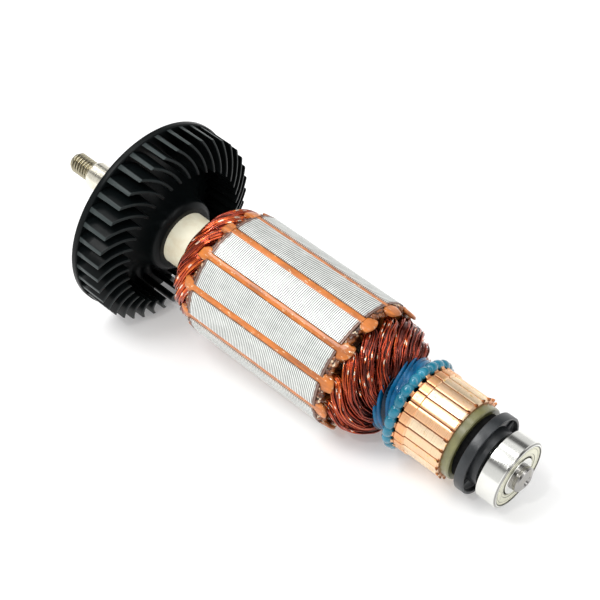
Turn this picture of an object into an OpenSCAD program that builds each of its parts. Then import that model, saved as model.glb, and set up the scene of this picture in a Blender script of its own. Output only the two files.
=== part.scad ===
// Armature of a small universal motor: a threaded drive shaft with a radial fan, a slotted
// lamination stack with twelve lap coils, a commutator and a ball bearing on the far end.
// The axis lies along X, +X runs from the threaded end to the bearing, and the origin is the
// centre of the ball bearing. Lengths are in millimetres.

/* [Ball bearing] */
// Bore of the ball bearing
bearing_bore = 7; // [6:0.5:7.5]
// Outside diameter of the ball bearing
bearing_od = 19; // [18.6:0.1:22]
// Width of the ball bearing
bearing_w = 6; // [5.8:0.1:8]
// Diameter of a ball
ball_d = 3.5; // [3:0.1:3.7]
// Number of balls
ball_count = 7; // [5:1:7]
// Gap between a ball and its raceway
race_clearance = 0.04; // [0.02:0.01:0.08]
// Thickness of a bearing shield
shield_t = 0.3; // [0.2:0.05:0.4]
// Chamfer on the bearing's outer corners
bearing_chamfer = 0.45; // [0.2:0.05:0.6]

/* [Shaft] */
// Length of the shaft past the bearing
stub_len = 2.5; // [2:0.1:6]
// Shaft diameter under the dust ring
ring_seat_d = 8; // [7.8:0.1:8.4]
// Shaft diameter under the commutator
commutator_seat_d = 9; // [8.6:0.1:9.2]
// Shaft diameter inside the insulation tube
core_shaft_d = 9.4; // [9.2:0.1:10]
// Shaft diameter under the fan
fan_seat_d = 11; // [10.4:0.1:12]
// Diameter of the drive end's bearing journal
journal_d = 10; // [9.6:0.1:10.2]
// Length of the drive end's bearing journal
journal_len = 11; // [8:0.5:16]
// Diameter of the pinion seat
pinion_seat_d = 8; // [7:0.1:9]
// Length of the pinion seat
pinion_seat_len = 10.5; // [8:0.5:16]
// Outside diameter of the thread
thread_d = 6; // [5:0.5:6.5]
// Length of the thread
thread_len = 7.5; // [6:0.5:14]
// Chamfer on the shaft's ends
shaft_chamfer = 0.7; // [0.4:0.1:1]
// Diameter of the centre holes
centre_hole_d = 1.8; // [1.2:0.1:2.2]

/* [Lamination stack] */
// Outside diameter of the core
core_d = 36.5; // [36:0.1:40]
// Length of the core
core_len = 44.7; // [30:0.1:70]
// Number of slots, and of coils
slot_count = 12; // [12:1:12]
// Width of a tooth
tooth_w = 2.9; // [2.6:0.05:2.95]
// Width of a slot's mouth
slot_mouth = 2.1; // [1.4:0.1:2.4]
// Radius of the slots' floor
slot_floor_r = 9.3; // [9.2:0.05:9.4]
// Depth of the tooth tips at the slot's mouth
tip_depth = 1.05; // [0.9:0.05:1.2]
// Angle of the core's slots about the axis
core_turn = 9.6; // [0:0.1:30]
// Thickness of an end insulator
insulator_t = 0.8; // [0.5:0.1:1.2]
// Distance from the core's edge to the insulator's edge
insulator_inset = 0.5; // [0.3:0.1:1]

/* [Slot liners and wedges] */
// Thickness of a slot liner
liner_t = 0.25; // [0.15:0.01:0.26]
// Length of a liner past the core
liner_over = 1.6; // [1.2:0.1:1.8]
// Length of a wedge past the core
wedge_over = 2.7; // [2:0.1:3.2]
// Depth of the wedge's face below the core's surface
wedge_recess = 0.4; // [0.3:0.05:0.6]
// Corner radius of the wedge's ends
wedge_corner = 1.3; // [0.8:0.1:1.6]

/* [Coils] */
// Radius of the outer coil sides
coil_outer_r = 14.65; // [14.5:0.05:14.7]
// Radius of the inner coil sides
coil_inner_r = 11.05; // [11:0.05:11.15]
// Height of a coil's bundle
bundle_h = 2.6; // [2.3:0.1:2.7]
// Width of an outer coil side
outer_side_w = 4; // [3.2:0.1:4.1]
// Width of an inner coil side
inner_side_w = 2.2; // [1.8:0.1:2.3]
// Width of the bundle in the end turns at the commutator
front_bundle_w = 2.4; // [2.2:0.1:2.8]
// Width of the bundle in the end turns at the fan
back_bundle_w = 2.1; // [1.9:0.1:2.3]
// Straight length of a coil past the core
coil_straight = 1.8; // [1.7:0.1:2.2]
// Reach of the end turns past that at the commutator
front_reach = 10; // [9.5:0.1:10.5]
// Reach of the end turns past that at the fan
back_reach = 7; // [7:0.1:9]
// How far the end turns lean inwards at the commutator
front_lean = 3.7; // [2:0.1:3.8]
// How far the end turns lean inwards at the fan
back_lean = 0.9; // [0:0.1:1.2]
// How far the end turns bulge outwards near the core
end_belly = 1.3; // [0:0.1:1.4]

/* [Insulation tube] */
// Outside diameter of the tube inside the core
tube_d = 12.6; // [12.2:0.1:12.8]
// Outside diameter of the tube behind the core
sleeve_d = 15.4; // [14:0.1:15.6]

/* [Commutator] */
// Diameter of the brush track
track_d = 22.8; // [22.4:0.1:24]
// Diameter of the bars at their hooks
riser_d = 23.5; // [23.2:0.1:24.6]
// Length of the bars
bar_len = 13.5; // [12:0.1:20]
// Length of the bars at their full diameter
riser_len = 2.8; // [2:0.1:4]
// Number of bars
bar_count = 24; // [24:1:24]
// Width of the slot between two bars
bar_slot = 0.5; // [0.4:0.05:0.8]
// Radial height of a bar's outer edge
bar_edge = 1; // [0.8:0.05:1.4]
// Radial height of a bar at its anchor
bar_h = 3; // [2.6:0.1:3.2]
// Depth of the slots above the mica
undercut = 0.5; // [0.3:0.05:0.7]
// Angle of the commutator's slots about the axis
commutator_turn = 10.9; // [0:0.1:15]
// Length of the moulding past the bars
moulding_lip = 2.3; // [1.5:0.1:4]
// Wall of the steel bush
bush_wall = 1.1; // [0.8:0.1:1.4]
// Distance from the core to the bars
lead_gap = 20.2; // [20.2:0.1:26]
// Width of a hook
hook_w = 1.4; // [1:0.1:1.6]
// Thickness of a hook
hook_t = 0.6; // [0.5:0.05:0.8]
// Diameter of the resin bead on a hook
bead_d = 2.9; // [2.5:0.05:2.9]

/* [Dust ring] */
// Outside diameter of the ring
ring_d = 22.1; // [21:0.1:23]
// Length of the ring from the commutator to the bearing
ring_len = 7.5; // [6.8:0.1:10]
// Length of the ring's rim
rim_len = 3.1; // [2.6:0.1:3.6]
// Thickness of the ring's rim
rim_t = 0.75; // [0.5:0.05:1]
// Diameter of the ring's neck
neck_d = 17.6; // [16:0.1:18.4]
// Number of webs inside the ring
web_count = 6; // [4:1:12]

/* [Fan] */
// Diameter of the fan's back plate
plate_d = 56.8; // [52:0.2:64]
// Thickness of the back plate at its rim
plate_t = 1.8; // [1.2:0.1:2.4]
// Depth of the fan from its back plate to its collar
fan_depth = 13.8; // [13:0.1:16]
// Distance from the core to the fan's collar
fan_gap = 19.9; // [17:0.1:26]
// Number of blades
blade_count = 39; // [24:1:41]
// Diameter over the blades
blade_tip_d = 56.1; // [50:0.1:56.6]
// Diameter inside the blades
blade_root_d = 40.2; // [36:0.1:44]
// Depth of a blade's outer edge, from the back of the plate
blade_tip_h = 10; // [6:0.1:12]
// Depth of a blade's inner edge, from the back of the plate
blade_root_h = 13.6; // [10:0.1:13.6]
// Thickness of a blade's outer edge
blade_tip_t = 1.1; // [0.8:0.05:1.4]
// Thickness of a blade's inner edge
blade_root_t = 0.75; // [0.6:0.05:1]
// Angle that a blade sweeps from its inner edge to its tip
blade_sweep = 13.2; // [0:0.2:20]
// Angle of the first blade about the axis
fan_turn = 5.7; // [0:0.1:15]
// Diameter of the fan's collar
collar_d = 21.6; // [20:0.1:23]
// Diameter of the boss behind the back plate
boss_d = 17; // [14:0.5:24]
// Length of the boss behind the back plate
boss_len = 1.2; // [0.6:0.1:3]

/* [Hidden] */
// Running gap round moving pieces, and the gap that keeps neighbours apart
fit_gap = 0.05;
free_gap = 0.2;
// Overlap that makes a cut run past a face
past = 0.5;
round_faces = 96;

core_r = core_d / 2;
tube_r = tube_d / 2;
sleeve_r = sleeve_d / 2;
track_r = track_d / 2;
riser_r = riser_d / 2;
core_shaft_r = core_shaft_d / 2;
bush_r = commutator_seat_d / 2 + bush_wall;

// Stations along the axis, from the bearing back to the threaded end
bearing_back = -bearing_w / 2;
shaft_front = bearing_w / 2 + stub_len;
ring_back = bearing_back - ring_len;
bars_front = ring_back - moulding_lip;
bars_back = bars_front - bar_len;
core_front = bars_back - lead_gap;
core_back = core_front - core_len;
fan_front = core_back - fan_gap;
fan_back = fan_front - fan_depth;
boss_back = fan_back - boss_len;
journal_back = boss_back - journal_len;
pinion_back = journal_back - pinion_seat_len;
shaft_back = pinion_back - thread_len;

// Slot shape
slot_angle = 360 / slot_count;
tooth_angle = slot_angle / 2;
tip_r = core_r - tip_depth;
shoulder_r = tip_r - 0.9;
liner_top_r = shoulder_r - 0.6;
wedge_top_r = core_r - wedge_recess;
wedge_floor_r = coil_outer_r + bundle_h / 2 + 0.45;
wedge_foot = 0.55;

// Coil shape
coil_pitch = floor(slot_count / 2) - 1;
coil_span = coil_pitch * slot_angle;
coil_mid_r = (coil_outer_r + coil_inner_r) / 2;
coil_half_gap = (coil_outer_r - coil_inner_r) / 2;
coil_sides = 8;
front_steps = 20;
back_steps = 16;
// Share of an end turn over which it bends out of its slot
turn_in = 0.08;

// Commutator and resin shape
bar_floor_r = track_r - bar_h;
bar_lip_r = track_r - bar_edge;
anchor_w = 2.4;
anchor_cut = 1.1;
moulding_back = bars_back - 0.6;
tube_front = moulding_back - 0.4;
bead_r = bead_d / 2;
bead_orbit = riser_r;
bead_z = bars_back - 2;
hook_reach = bead_z - 0.5;
hook_top_r = bead_orbit + 0.75;
resin_back = core_front + coil_straight + front_reach + bundle_h / 2 + free_gap;
resin_neck_r = 9.3;
resin_wide_r = bead_orbit - bead_r - 0.1;

// Bearing shape
ball_orbit = (bearing_bore + bearing_od) / 4;
ball_r = ball_d / 2;
groove_r = ball_r + race_clearance;
inner_land_r = ball_orbit - 0.77 * ball_r;
outer_land_r = ball_orbit + 0.77 * ball_r;
shield_seat_r = outer_land_r + 0.6;
shield_seat_w = 0.75;
shield_inset = 0.15;
cage_wall = 0.5;
cage_half_w = ball_r + 0.5;

// Dust ring shape
rim_back = ring_back + 2;
ring_floor = 1.3;
hub_front = bearing_back - 0.9;
hub_r = neck_d / 2 - 0.9;
web_t = 0.8;

// Fan shape
collar_r = collar_d / 2;
bell_r = fan_depth - plate_t - 1.6;
bell_start = fan_back + plate_t + bell_r;
bore_depth = 4.5;
rim_round = 0.5;

// ---- helpers ----

// Stands a piece that is drawn along Z on the X axis
module on_axis() rotate([0, 90, 0]) children();

// A turned piece, from its [radius, station] points
module turned(points) rotate_extrude($fn = round_faces) polygon(points);

// Children at every step of a circle, counted from a first angle
module around(count, first) {
    for (i = [0:count - 1]) rotate([0, 0, first + i * 360 / count]) children();
}

// A rectangle of the given size with round corners, centred
module round_plan(length, width, corner) {
    square([length - 2 * corner, width], center = true);
    square([length, width - 2 * corner], center = true);
    for (x = [-1, 1], y = [-1, 1])
        translate([x * (length / 2 - corner), y * (width / 2 - corner)])
            circle(r = corner, $fn = 32);
}

function mix(a, b, share) = a + (b - a) * share;
function unit(v) = v / norm(v);

// ---- shaft ----

module shaft() {
    thread_r = thread_d / 2;
    hole_r = centre_hole_d / 2;
    seat_r = bearing_bore / 2;
    hole_depth = 2 * centre_hole_d;
    color("silver") on_axis() turned([
        [0, shaft_back + hole_depth],
        [hole_r, shaft_back + hole_depth - hole_r],
        [hole_r, shaft_back],
        [thread_r - shaft_chamfer, shaft_back],
        [thread_r, shaft_back + shaft_chamfer],
        [thread_r, pinion_back],
        [pinion_seat_d / 2 - shaft_chamfer, pinion_back],
        [pinion_seat_d / 2, pinion_back + 1.5 * shaft_chamfer],
        [pinion_seat_d / 2, journal_back],
        [journal_d / 2, journal_back],
        [journal_d / 2, boss_back],
        [fan_seat_d / 2, boss_back],
        [fan_seat_d / 2, fan_front - bore_depth],
        [core_shaft_r, fan_front - bore_depth],
        [core_shaft_r, tube_front],
        [commutator_seat_d / 2, tube_front],
        [commutator_seat_d / 2, ring_back],
        [ring_seat_d / 2, ring_back],
        [ring_seat_d / 2, bearing_back],
        [seat_r, bearing_back],
        [seat_r, shaft_front - shaft_chamfer],
        [seat_r - 1.6 * shaft_chamfer, shaft_front],
        [hole_r, shaft_front],
        [hole_r, shaft_front - hole_depth + hole_r],
        [0, shaft_front - hole_depth]
    ]);
}

// ---- fan ----

// Angle of a blade's centre line at a share of its length, 0 at the inner edge
function blade_angle(share) = -blade_sweep * (1 - pow(share, 1.5));

function blade_side(side) = [
    for (i = [0:3])
        let (
            share = i / 3,
            r = mix(blade_root_d, blade_tip_d, share) / 2,
            t = mix(blade_root_t, blade_tip_t, share),
            a = blade_angle(share) + side * t / 2 / r * 180 / PI
        )
        r * [cos(a), sin(a)]
];

module blade_outline() {
    left = blade_side(1);
    polygon(concat(blade_side(-1), [for (i = [3:-1:0]) left[i]]));
}

// Space that the blades fill, from inside the plate to their sloping front edges
module blade_space() {
    slope = (blade_root_h - blade_tip_h) / (blade_tip_d - blade_root_d) * 2;
    inner = blade_root_d / 2 - past;
    outer = blade_tip_d / 2 + past;
    turned([
        [inner, fan_back + plate_t / 2],
        [outer, fan_back + plate_t / 2],
        [outer, fan_back + blade_tip_h - past * slope],
        [inner, fan_back + blade_root_h + past * slope]
    ]);
}

// Back plate, bell and collar: the bell is a quarter round from the collar to the plate
module fan_body() {
    plate_r = plate_d / 2;
    plate_front = fan_back + plate_t;
    rotate_extrude($fn = round_faces) difference() {
        polygon([
            [fan_seat_d / 2, boss_back],
            [boss_d / 2, boss_back],
            [boss_d / 2, fan_back],
            [plate_r - rim_round, fan_back],
            [plate_r, fan_back + rim_round],
            [plate_r, plate_front - rim_round],
            [plate_r - rim_round, plate_front],
            [collar_r + bell_r, plate_front],
            [collar_r + bell_r, bell_start],
            [collar_r, bell_start],
            [collar_r - 0.4, fan_front - 0.7],
            [collar_r - 1.4, fan_front],
            [sleeve_r, fan_front],
            [sleeve_r, fan_front - bore_depth],
            [fan_seat_d / 2, fan_front - bore_depth]
        ]);
        translate([collar_r + bell_r, bell_start]) circle(r = bell_r, $fn = 64);
    }
}

module fan() {
    color("#1b1d1e") on_axis() union() {
        fan_body();
        intersection() {
            translate([0, 0, fan_back + plate_t / 2])
                linear_extrude(blade_root_h + past)
                    around(blade_count, fan_turn) blade_outline();
            blade_space();
        }
    }
}

// ---- core and its insulation ----

// Half the width of a slot at a radius: the teeth have parallel sides
function slot_half(r) = r * tan(tooth_angle) - tooth_w / 2 / cos(tooth_angle);

module slot_outline() {
    mouth = slot_mouth / 2;
    polygon([
        [slot_floor_r, -slot_half(slot_floor_r)],
        [shoulder_r, -slot_half(shoulder_r)],
        [tip_r, -mouth],
        [core_r + past, -mouth],
        [core_r + past, mouth],
        [tip_r, mouth],
        [shoulder_r, slot_half(shoulder_r)],
        [slot_floor_r, slot_half(slot_floor_r)]
    ]);
}

module slotted_disc(radius) {
    difference() {
        circle(r = radius, $fn = round_faces);
        circle(r = tube_r, $fn = round_faces);
        around(slot_count, core_turn) slot_outline();
    }
}

module lamination_stack() {
    color("gainsboro") on_axis() translate([0, 0, core_back])
        linear_extrude(core_len) slotted_disc(core_r);
}

module end_insulator(station) {
    color("#2a1a14") on_axis() translate([0, 0, station])
        linear_extrude(insulator_t) slotted_disc(core_r - insulator_inset);
}

module fan_end_insulator() end_insulator(core_back - insulator_t);

module commutator_end_insulator() end_insulator(core_front);

module slot_liner(index) {
    wall = liner_t / cos(tooth_angle);
    inner_floor = slot_floor_r + liner_t;
    color("chocolate") on_axis()
        rotate([0, 0, core_turn + index * slot_angle])
            translate([0, 0, core_back - liner_over])
                linear_extrude(core_len + 2 * liner_over) polygon([
                    [slot_floor_r, -slot_half(slot_floor_r)],
                    [liner_top_r, -slot_half(liner_top_r)],
                    [liner_top_r, wall - slot_half(liner_top_r)],
                    [inner_floor, wall - slot_half(inner_floor)],
                    [inner_floor, slot_half(inner_floor) - wall],
                    [liner_top_r, slot_half(liner_top_r) - wall],
                    [liner_top_r, slot_half(liner_top_r)],
                    [slot_floor_r, slot_half(slot_floor_r)]
                ]);
}

// Half of a wedge's outline, from its foot up to the slot's mouth and back inside
function wedge_half(side) = [
    [liner_top_r, side * (slot_half(liner_top_r) - wedge_foot)],
    [liner_top_r, side * slot_half(liner_top_r)],
    [shoulder_r, side * slot_half(shoulder_r)],
    [tip_r, side * slot_mouth / 2],
    [wedge_top_r, side * slot_mouth / 2]
];

module slot_wedge(index) {
    right = wedge_half(-1);
    left = wedge_half(1);
    length = core_len + 2 * wedge_over;
    color("darkorange") on_axis()
        rotate([0, 0, core_turn + index * slot_angle]) intersection() {
            translate([0, 0, core_back - wedge_over])
                linear_extrude(length) polygon(concat(
                    right,
                    [for (i = [4:-1:0]) left[i]],
                    [[wedge_floor_r, slot_mouth / 2], [wedge_floor_r, -slot_mouth / 2]]
                ));
            translate([liner_top_r - past, 0, core_back + core_len / 2])
                rotate([90, 0, 90]) linear_extrude(core_r)
                    round_plan(2 * slot_half(shoulder_r) + 0.02, length, wedge_corner);
        }
}

// ---- coils ----

// Share of the span that an end turn has covered: it bends out of the slot, runs at a
// steady slope and bends back into the other slot
function turned_share(s) =
    s < turn_in ? s * s / (2 * turn_in * (1 - turn_in))
    : s > 1 - turn_in ? 1 - (1 - s) * (1 - s) / (2 * turn_in * (1 - turn_in))
    : (s - turn_in / 2) / (1 - turn_in);

// [radius, height, outward normal] of an end turn at a share of its length: up the outer
// leg, over a half round nose and down the inner leg
function arch(s, reach) =
    let (
        leg = reach - coil_half_gap,
        q = s * (2 * leg + PI * coil_half_gap)
    )
    q < leg ? [coil_mid_r + coil_half_gap, q, [1, 0]]
    : q > leg + PI * coil_half_gap
        ? [coil_mid_r - coil_half_gap, 2 * leg + PI * coil_half_gap - q, [-1, 0]]
    : let (b = (q - leg) / coil_half_gap * 180 / PI)
        [coil_mid_r + coil_half_gap * cos(b), leg + coil_half_gap * sin(b), [cos(b), sin(b)]];

// How far the bundle stands outwards at a share of an end turn's height: it bulges near
// the core and leans inwards towards the nose
function end_shift(share, lean) =
    end_belly * pow(sin(180 * pow(share, 0.85)), 2) - lean * pow(share, 1.5);

// Centre of the bundle in space
function end_point(s, reach, lean) =
    let (
        p = arch(s, reach),
        r = p[0] + end_shift(max(0, p[1] / reach), lean),
        a = coil_span * turned_share(s)
    )
    [r * cos(a), r * sin(a), p[1]];

function end_normal(s, reach) =
    let (n = arch(s, reach)[2], a = coil_span * turned_share(s))
    [n[0] * cos(a), n[0] * sin(a), n[1]];

function end_width(s, bundle_w) =
    s < 0.5 ? mix(outer_side_w, bundle_w, min(1, s / 0.2))
    : mix(bundle_w, inner_side_w, max(0, (s - 0.8) / 0.2));

// One ring of points round the bundle: an ellipse across the direction of travel
function bundle_ring(s, reach, lean, bundle_w) =
    let (
        step = 0.004,
        travel = s < step || s > 1 - step ? (s < 0.5 ? [0, 0, 1] : [0, 0, -1])
            : unit(end_point(s + step, reach, lean) - end_point(s - step, reach, lean)),
        n0 = end_normal(s, reach),
        n = unit(n0 - (n0 * travel) * travel),
        w = cross(travel, n),
        c = end_point(s, reach, lean),
        half_w = end_width(s, bundle_w) / 2,
        half_h = bundle_h / 2
    )
    [for (k = [0:coil_sides - 1])
        let (a = (k + 0.5) * 360 / coil_sides)
        c + half_h * cos(a) * n + half_w * sin(a) * w];

// Closed loop of rings: the end turn at the commutator and the one at the fan, joined by
// the two straight sides in the slots
function coil_rings() = concat(
    [for (i = [0:front_steps])
        [for (p = bundle_ring(i / front_steps, front_reach, front_lean, front_bundle_w))
            [p[0], p[1], core_front + coil_straight + p[2]]]],
    [for (i = [back_steps:-1:0])
        [for (p = bundle_ring(i / back_steps, back_reach, back_lean, back_bundle_w))
            [p[0], p[1], core_back - coil_straight - p[2]]]]
);

module coil_loop() {
    rings = coil_rings();
    count = len(rings);
    points = [for (ring = rings, p = ring) p];
    faces = [for (i = [0:count - 1], k = [0:coil_sides - 1])
        let (
            a = i * coil_sides,
            b = ((i + 1) % count) * coil_sides,
            next = (k + 1) % coil_sides
        )
        each [[a + k, b + k, b + next], [a + k, b + next, a + next]]];
    polyhedron(points, faces, convexity = 6);
}

module coil(index) {
    color("firebrick") on_axis() rotate([0, 0, core_turn + index * slot_angle]) coil_loop();
}

module insulation_tube() {
    color("ivory") on_axis() turned([
        [core_shaft_r, fan_front - bore_depth],
        [sleeve_r, fan_front - bore_depth],
        [sleeve_r, core_back - insulator_t],
        [tube_r, core_back - insulator_t],
        [tube_r, tube_front],
        [core_shaft_r, tube_front]
    ]);
}

// ---- commutator ----

// Section of a bar with a dovetail anchor at each end of its foot
module bar_section() {
    polygon([
        [bar_lip_r, bars_back],
        [riser_r, bars_back],
        [riser_r, bars_back + riser_len],
        [track_r, bars_back + riser_len],
        [track_r, bars_front],
        [bar_lip_r, bars_front],
        [bar_lip_r, bars_front - anchor_cut],
        [bar_lip_r - anchor_cut, bars_front - anchor_w],
        [bar_floor_r, bars_front - anchor_cut],
        [bar_floor_r, bars_back + anchor_cut],
        [bar_lip_r - anchor_cut, bars_back + anchor_w],
        [bar_lip_r, bars_back + anchor_cut]
    ]);
}

// Slabs between the bars, from inside the anchors out to a radius
module bar_gaps(top_r) {
    around(bar_count, commutator_turn)
        translate([bar_floor_r - past, -bar_slot / 2, bars_back - past])
            cube([top_r - bar_floor_r + past, bar_slot, bar_len + 2 * past]);
}

// A hook: a tongue that leaves the bar's end, steps out and runs back over the wire
module hooks() {
    around(bar_count, commutator_turn + 180 / bar_count)
        rotate([90, 0, 0]) translate([0, 0, -hook_w / 2]) linear_extrude(hook_w)
            polygon([
                [riser_r - hook_t, bars_back],
                [riser_r - hook_t, bars_back - 2 * hook_t / 3],
                [hook_top_r - hook_t, bars_back - 1.6 * hook_t],
                [hook_top_r - hook_t, hook_reach],
                [hook_top_r, hook_reach],
                [hook_top_r, bars_back - hook_t],
                [riser_r, bars_back]
            ]);
}

module commutator_bars() {
    color("#e0956b") on_axis() union() {
        difference() {
            rotate_extrude($fn = round_faces) bar_section();
            bar_gaps(riser_r + past);
        }
        hooks();
    }
}

module commutator_mica() {
    color("#6b5138") on_axis() intersection() {
        rotate_extrude($fn = round_faces) difference() {
            bar_section();
            translate([track_r - undercut, bars_back - past])
                square([riser_r, bar_len + 2 * past]);
        }
        bar_gaps(riser_r);
    }
}

module commutator_moulding() {
    color("#7d7d4f") on_axis() rotate_extrude($fn = round_faces) difference() {
        polygon([
            [bush_r, moulding_back],
            [bar_lip_r - 0.3, moulding_back],
            [bar_lip_r, bars_back],
            [bar_lip_r, bars_front],
            [bar_lip_r - 0.1, ring_back - 0.3],
            [bar_lip_r - 0.4, ring_back],
            [bush_r, ring_back]
        ]);
        bar_section();
    }
}

module commutator_bush() {
    color("darkgray") on_axis() turned([
        [commutator_seat_d / 2, moulding_back],
        [bush_r, moulding_back],
        [bush_r, ring_back],
        [commutator_seat_d / 2, ring_back]
    ]);
}

// Resin cone over the coils' leads, from the end turns to the commutator
module lead_resin() {
    neck = mix(resin_back, bead_z, 0.45);
    color("#2f8fc4") on_axis() turned([
        [tube_r, resin_back],
        [resin_neck_r - 0.5, resin_back],
        [resin_neck_r, mix(resin_back, neck, 0.5)],
        [resin_neck_r, neck],
        [resin_wide_r, bead_z - bead_r / 2],
        [resin_wide_r, moulding_back],
        [commutator_seat_d / 2, moulding_back],
        [commutator_seat_d / 2, tube_front],
        [tube_r, tube_front]
    ]);
}

module hook_resin_beads() {
    color("#3fa0cf") on_axis() difference() {
        around(bar_count, commutator_turn + 180 / bar_count)
            translate([bead_orbit, 0, bead_z]) sphere(r = bead_r, $fn = 32);
        hooks();
    }
}

// ---- dust ring ----

// A cup open towards the bearing, with a neck behind it, a hub and webs inside it
module dust_ring() {
    ring_r = ring_d / 2;
    seat_r = ring_seat_d / 2;
    neck_r = neck_d / 2;
    floor_front = rim_back + ring_floor;
    color("#26282a") on_axis() union() {
        turned([
            [seat_r, ring_back],
            [neck_r, ring_back],
            [neck_r, rim_back],
            [ring_r - 0.3, rim_back],
            [ring_r, rim_back + 0.3],
            [ring_r, rim_back + rim_len],
            [ring_r - rim_t, rim_back + rim_len],
            [ring_r - rim_t, floor_front],
            [hub_r, floor_front],
            [hub_r - 0.4, hub_front],
            [inner_land_r - 0.2, hub_front],
            [inner_land_r - 0.2, bearing_back],
            [seat_r, bearing_back]
        ]);
        around(web_count, 0)
            translate([hub_r - 0.4, -web_t / 2, floor_front - 0.2])
                cube([ring_r - rim_t / 2 - hub_r + 0.4, web_t, 0.8]);
    }
}

// ---- ball bearing ----

module bearing_inner_ring() {
    half_w = bearing_w / 2;
    bore_r = bearing_bore / 2;
    bevel = bearing_chamfer / 2;
    color("lightgray") on_axis() rotate_extrude($fn = round_faces) difference() {
        polygon([
            [bore_r, -half_w],
            [inner_land_r - bevel, -half_w],
            [inner_land_r, bevel - half_w],
            [inner_land_r, half_w - bevel],
            [inner_land_r - bevel, half_w],
            [bore_r + bevel, half_w],
            [bore_r, half_w - bevel]
        ]);
        translate([ball_orbit, 0]) circle(r = groove_r, $fn = 64);
    }
}

module bearing_outer_ring() {
    half_w = bearing_w / 2;
    outer_r = bearing_od / 2;
    seat_floor = half_w - shield_seat_w;
    color("lightgray") on_axis() rotate_extrude($fn = round_faces) difference() {
        polygon([
            [outer_land_r, -seat_floor],
            [shield_seat_r, -seat_floor],
            [shield_seat_r, -half_w],
            [outer_r - bearing_chamfer, -half_w],
            [outer_r, bearing_chamfer - half_w],
            [outer_r, half_w - bearing_chamfer],
            [outer_r - bearing_chamfer, half_w],
            [shield_seat_r, half_w],
            [shield_seat_r, seat_floor],
            [outer_land_r, seat_floor]
        ]);
        translate([ball_orbit, 0]) circle(r = groove_r, $fn = 64);
    }
}

// A pressed shield with its rim turned in against the ring's seat
module bearing_shield(side) {
    half_w = bearing_w / 2;
    inner_r = inner_land_r + 0.35;
    face = half_w - shield_inset;
    foot = half_w - shield_seat_w;
    color("whitesmoke") on_axis() turned([
        [inner_r, side * (face - shield_t)],
        [shield_seat_r - shield_t, side * (face - shield_t)],
        [shield_seat_r - shield_t, side * foot],
        [shield_seat_r, side * foot],
        [shield_seat_r, side * (face - 0.1)],
        [shield_seat_r - 0.1, side * face],
        [inner_r, side * face]
    ]);
}

module bearing_shield_front() bearing_shield(1);

module bearing_shield_back() bearing_shield(-1);

module bearing_balls() {
    color("silver") on_axis() around(ball_count, 0)
        translate([ball_orbit, 0, 0]) sphere(r = ball_r, $fn = 48);
}

module ball_cage() {
    color("goldenrod") on_axis() difference() {
        turned([
            [ball_orbit - cage_wall, -cage_half_w],
            [ball_orbit + cage_wall, -cage_half_w],
            [ball_orbit + cage_wall, cage_half_w],
            [ball_orbit - cage_wall, cage_half_w]
        ]);
        around(ball_count, 0)
            rotate([0, 90, 0]) cylinder(r = ball_r + fit_gap, h = bearing_od / 2, $fn = 48);
    }
}

// ---- nodes ----

shaft();
fan();
insulation_tube();
lamination_stack();
fan_end_insulator();
commutator_end_insulator();
for (i = [1:slot_count]) coil(i);
for (i = [1:slot_count]) slot_liner(i);
for (i = [1:slot_count]) slot_wedge(i);
lead_resin();
hook_resin_beads();
commutator_bars();
commutator_mica();
commutator_moulding();
commutator_bush();
dust_ring();
bearing_inner_ring();
bearing_outer_ring();
bearing_shield_front();
bearing_shield_back();
bearing_balls();
ball_cage();
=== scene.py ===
"""Dresses a motor armature: its turned shaft, fan, lamination stack, windings, commutator
and ball bearing, laid on a pale floor."""

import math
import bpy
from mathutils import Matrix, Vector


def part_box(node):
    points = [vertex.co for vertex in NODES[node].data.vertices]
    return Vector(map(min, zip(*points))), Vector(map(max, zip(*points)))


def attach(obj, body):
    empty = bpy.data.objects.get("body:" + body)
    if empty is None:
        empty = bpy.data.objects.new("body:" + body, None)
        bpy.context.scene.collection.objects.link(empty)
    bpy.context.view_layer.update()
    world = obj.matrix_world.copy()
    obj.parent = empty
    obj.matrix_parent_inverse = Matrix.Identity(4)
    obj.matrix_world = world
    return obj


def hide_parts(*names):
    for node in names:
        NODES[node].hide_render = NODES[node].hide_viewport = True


bl_info = {
    "name": "Motor Armature",
    "version": (1, 0, 0),
    "blender": (4, 5, 0),
    "location": "View3D > Sidebar > Armature",
    "description": "Adds the finished pieces of a small motor armature",
    "category": "Add Mesh",
}

import bmesh
import bpy
import numpy as np
from mathutils import Matrix, Vector

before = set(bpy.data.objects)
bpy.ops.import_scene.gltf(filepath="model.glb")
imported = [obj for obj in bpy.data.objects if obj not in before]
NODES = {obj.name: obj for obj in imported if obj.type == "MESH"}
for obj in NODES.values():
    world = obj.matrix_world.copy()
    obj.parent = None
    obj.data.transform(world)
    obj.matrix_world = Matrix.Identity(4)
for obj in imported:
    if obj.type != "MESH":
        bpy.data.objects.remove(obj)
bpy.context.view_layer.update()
MM = 0.001
TAU = 2 * math.pi
CREASE = math.radians(38)
ROTOR = "rotor"
BEARING = "bearing_outer"


def ends(node):
    """Stations of a node's end towards the drive thread and of its end towards the bearing."""
    lowest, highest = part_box(node)
    return lowest.x, highest.x


def outer(node):
    """Outer radius of a node that is round about the axis."""
    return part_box(node)[1].y


CORE_BACK, CORE_FRONT = ends("lamination_stack")
CORE_MIDDLE = (CORE_BACK + CORE_FRONT) / 2
CORE_R = outer("lamination_stack")
SHAFT_BACK, SHAFT_FRONT = ends("shaft")
FAN_BACK, FAN_FRONT = ends("fan")
FAN_R = outer("fan")
RING_BACK, RING_FRONT = ends("dust_ring")
RING_R = outer("dust_ring")
BEARING_HALF = ends("bearing_outer_ring")[1]
BEARING_R = outer("bearing_outer_ring")
BARS_BACK, BARS_FRONT = ends("commutator_mica")
MOULDING_BACK = ends("commutator_moulding")[0]


# ---------------------------------------------------------------- settings


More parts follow.
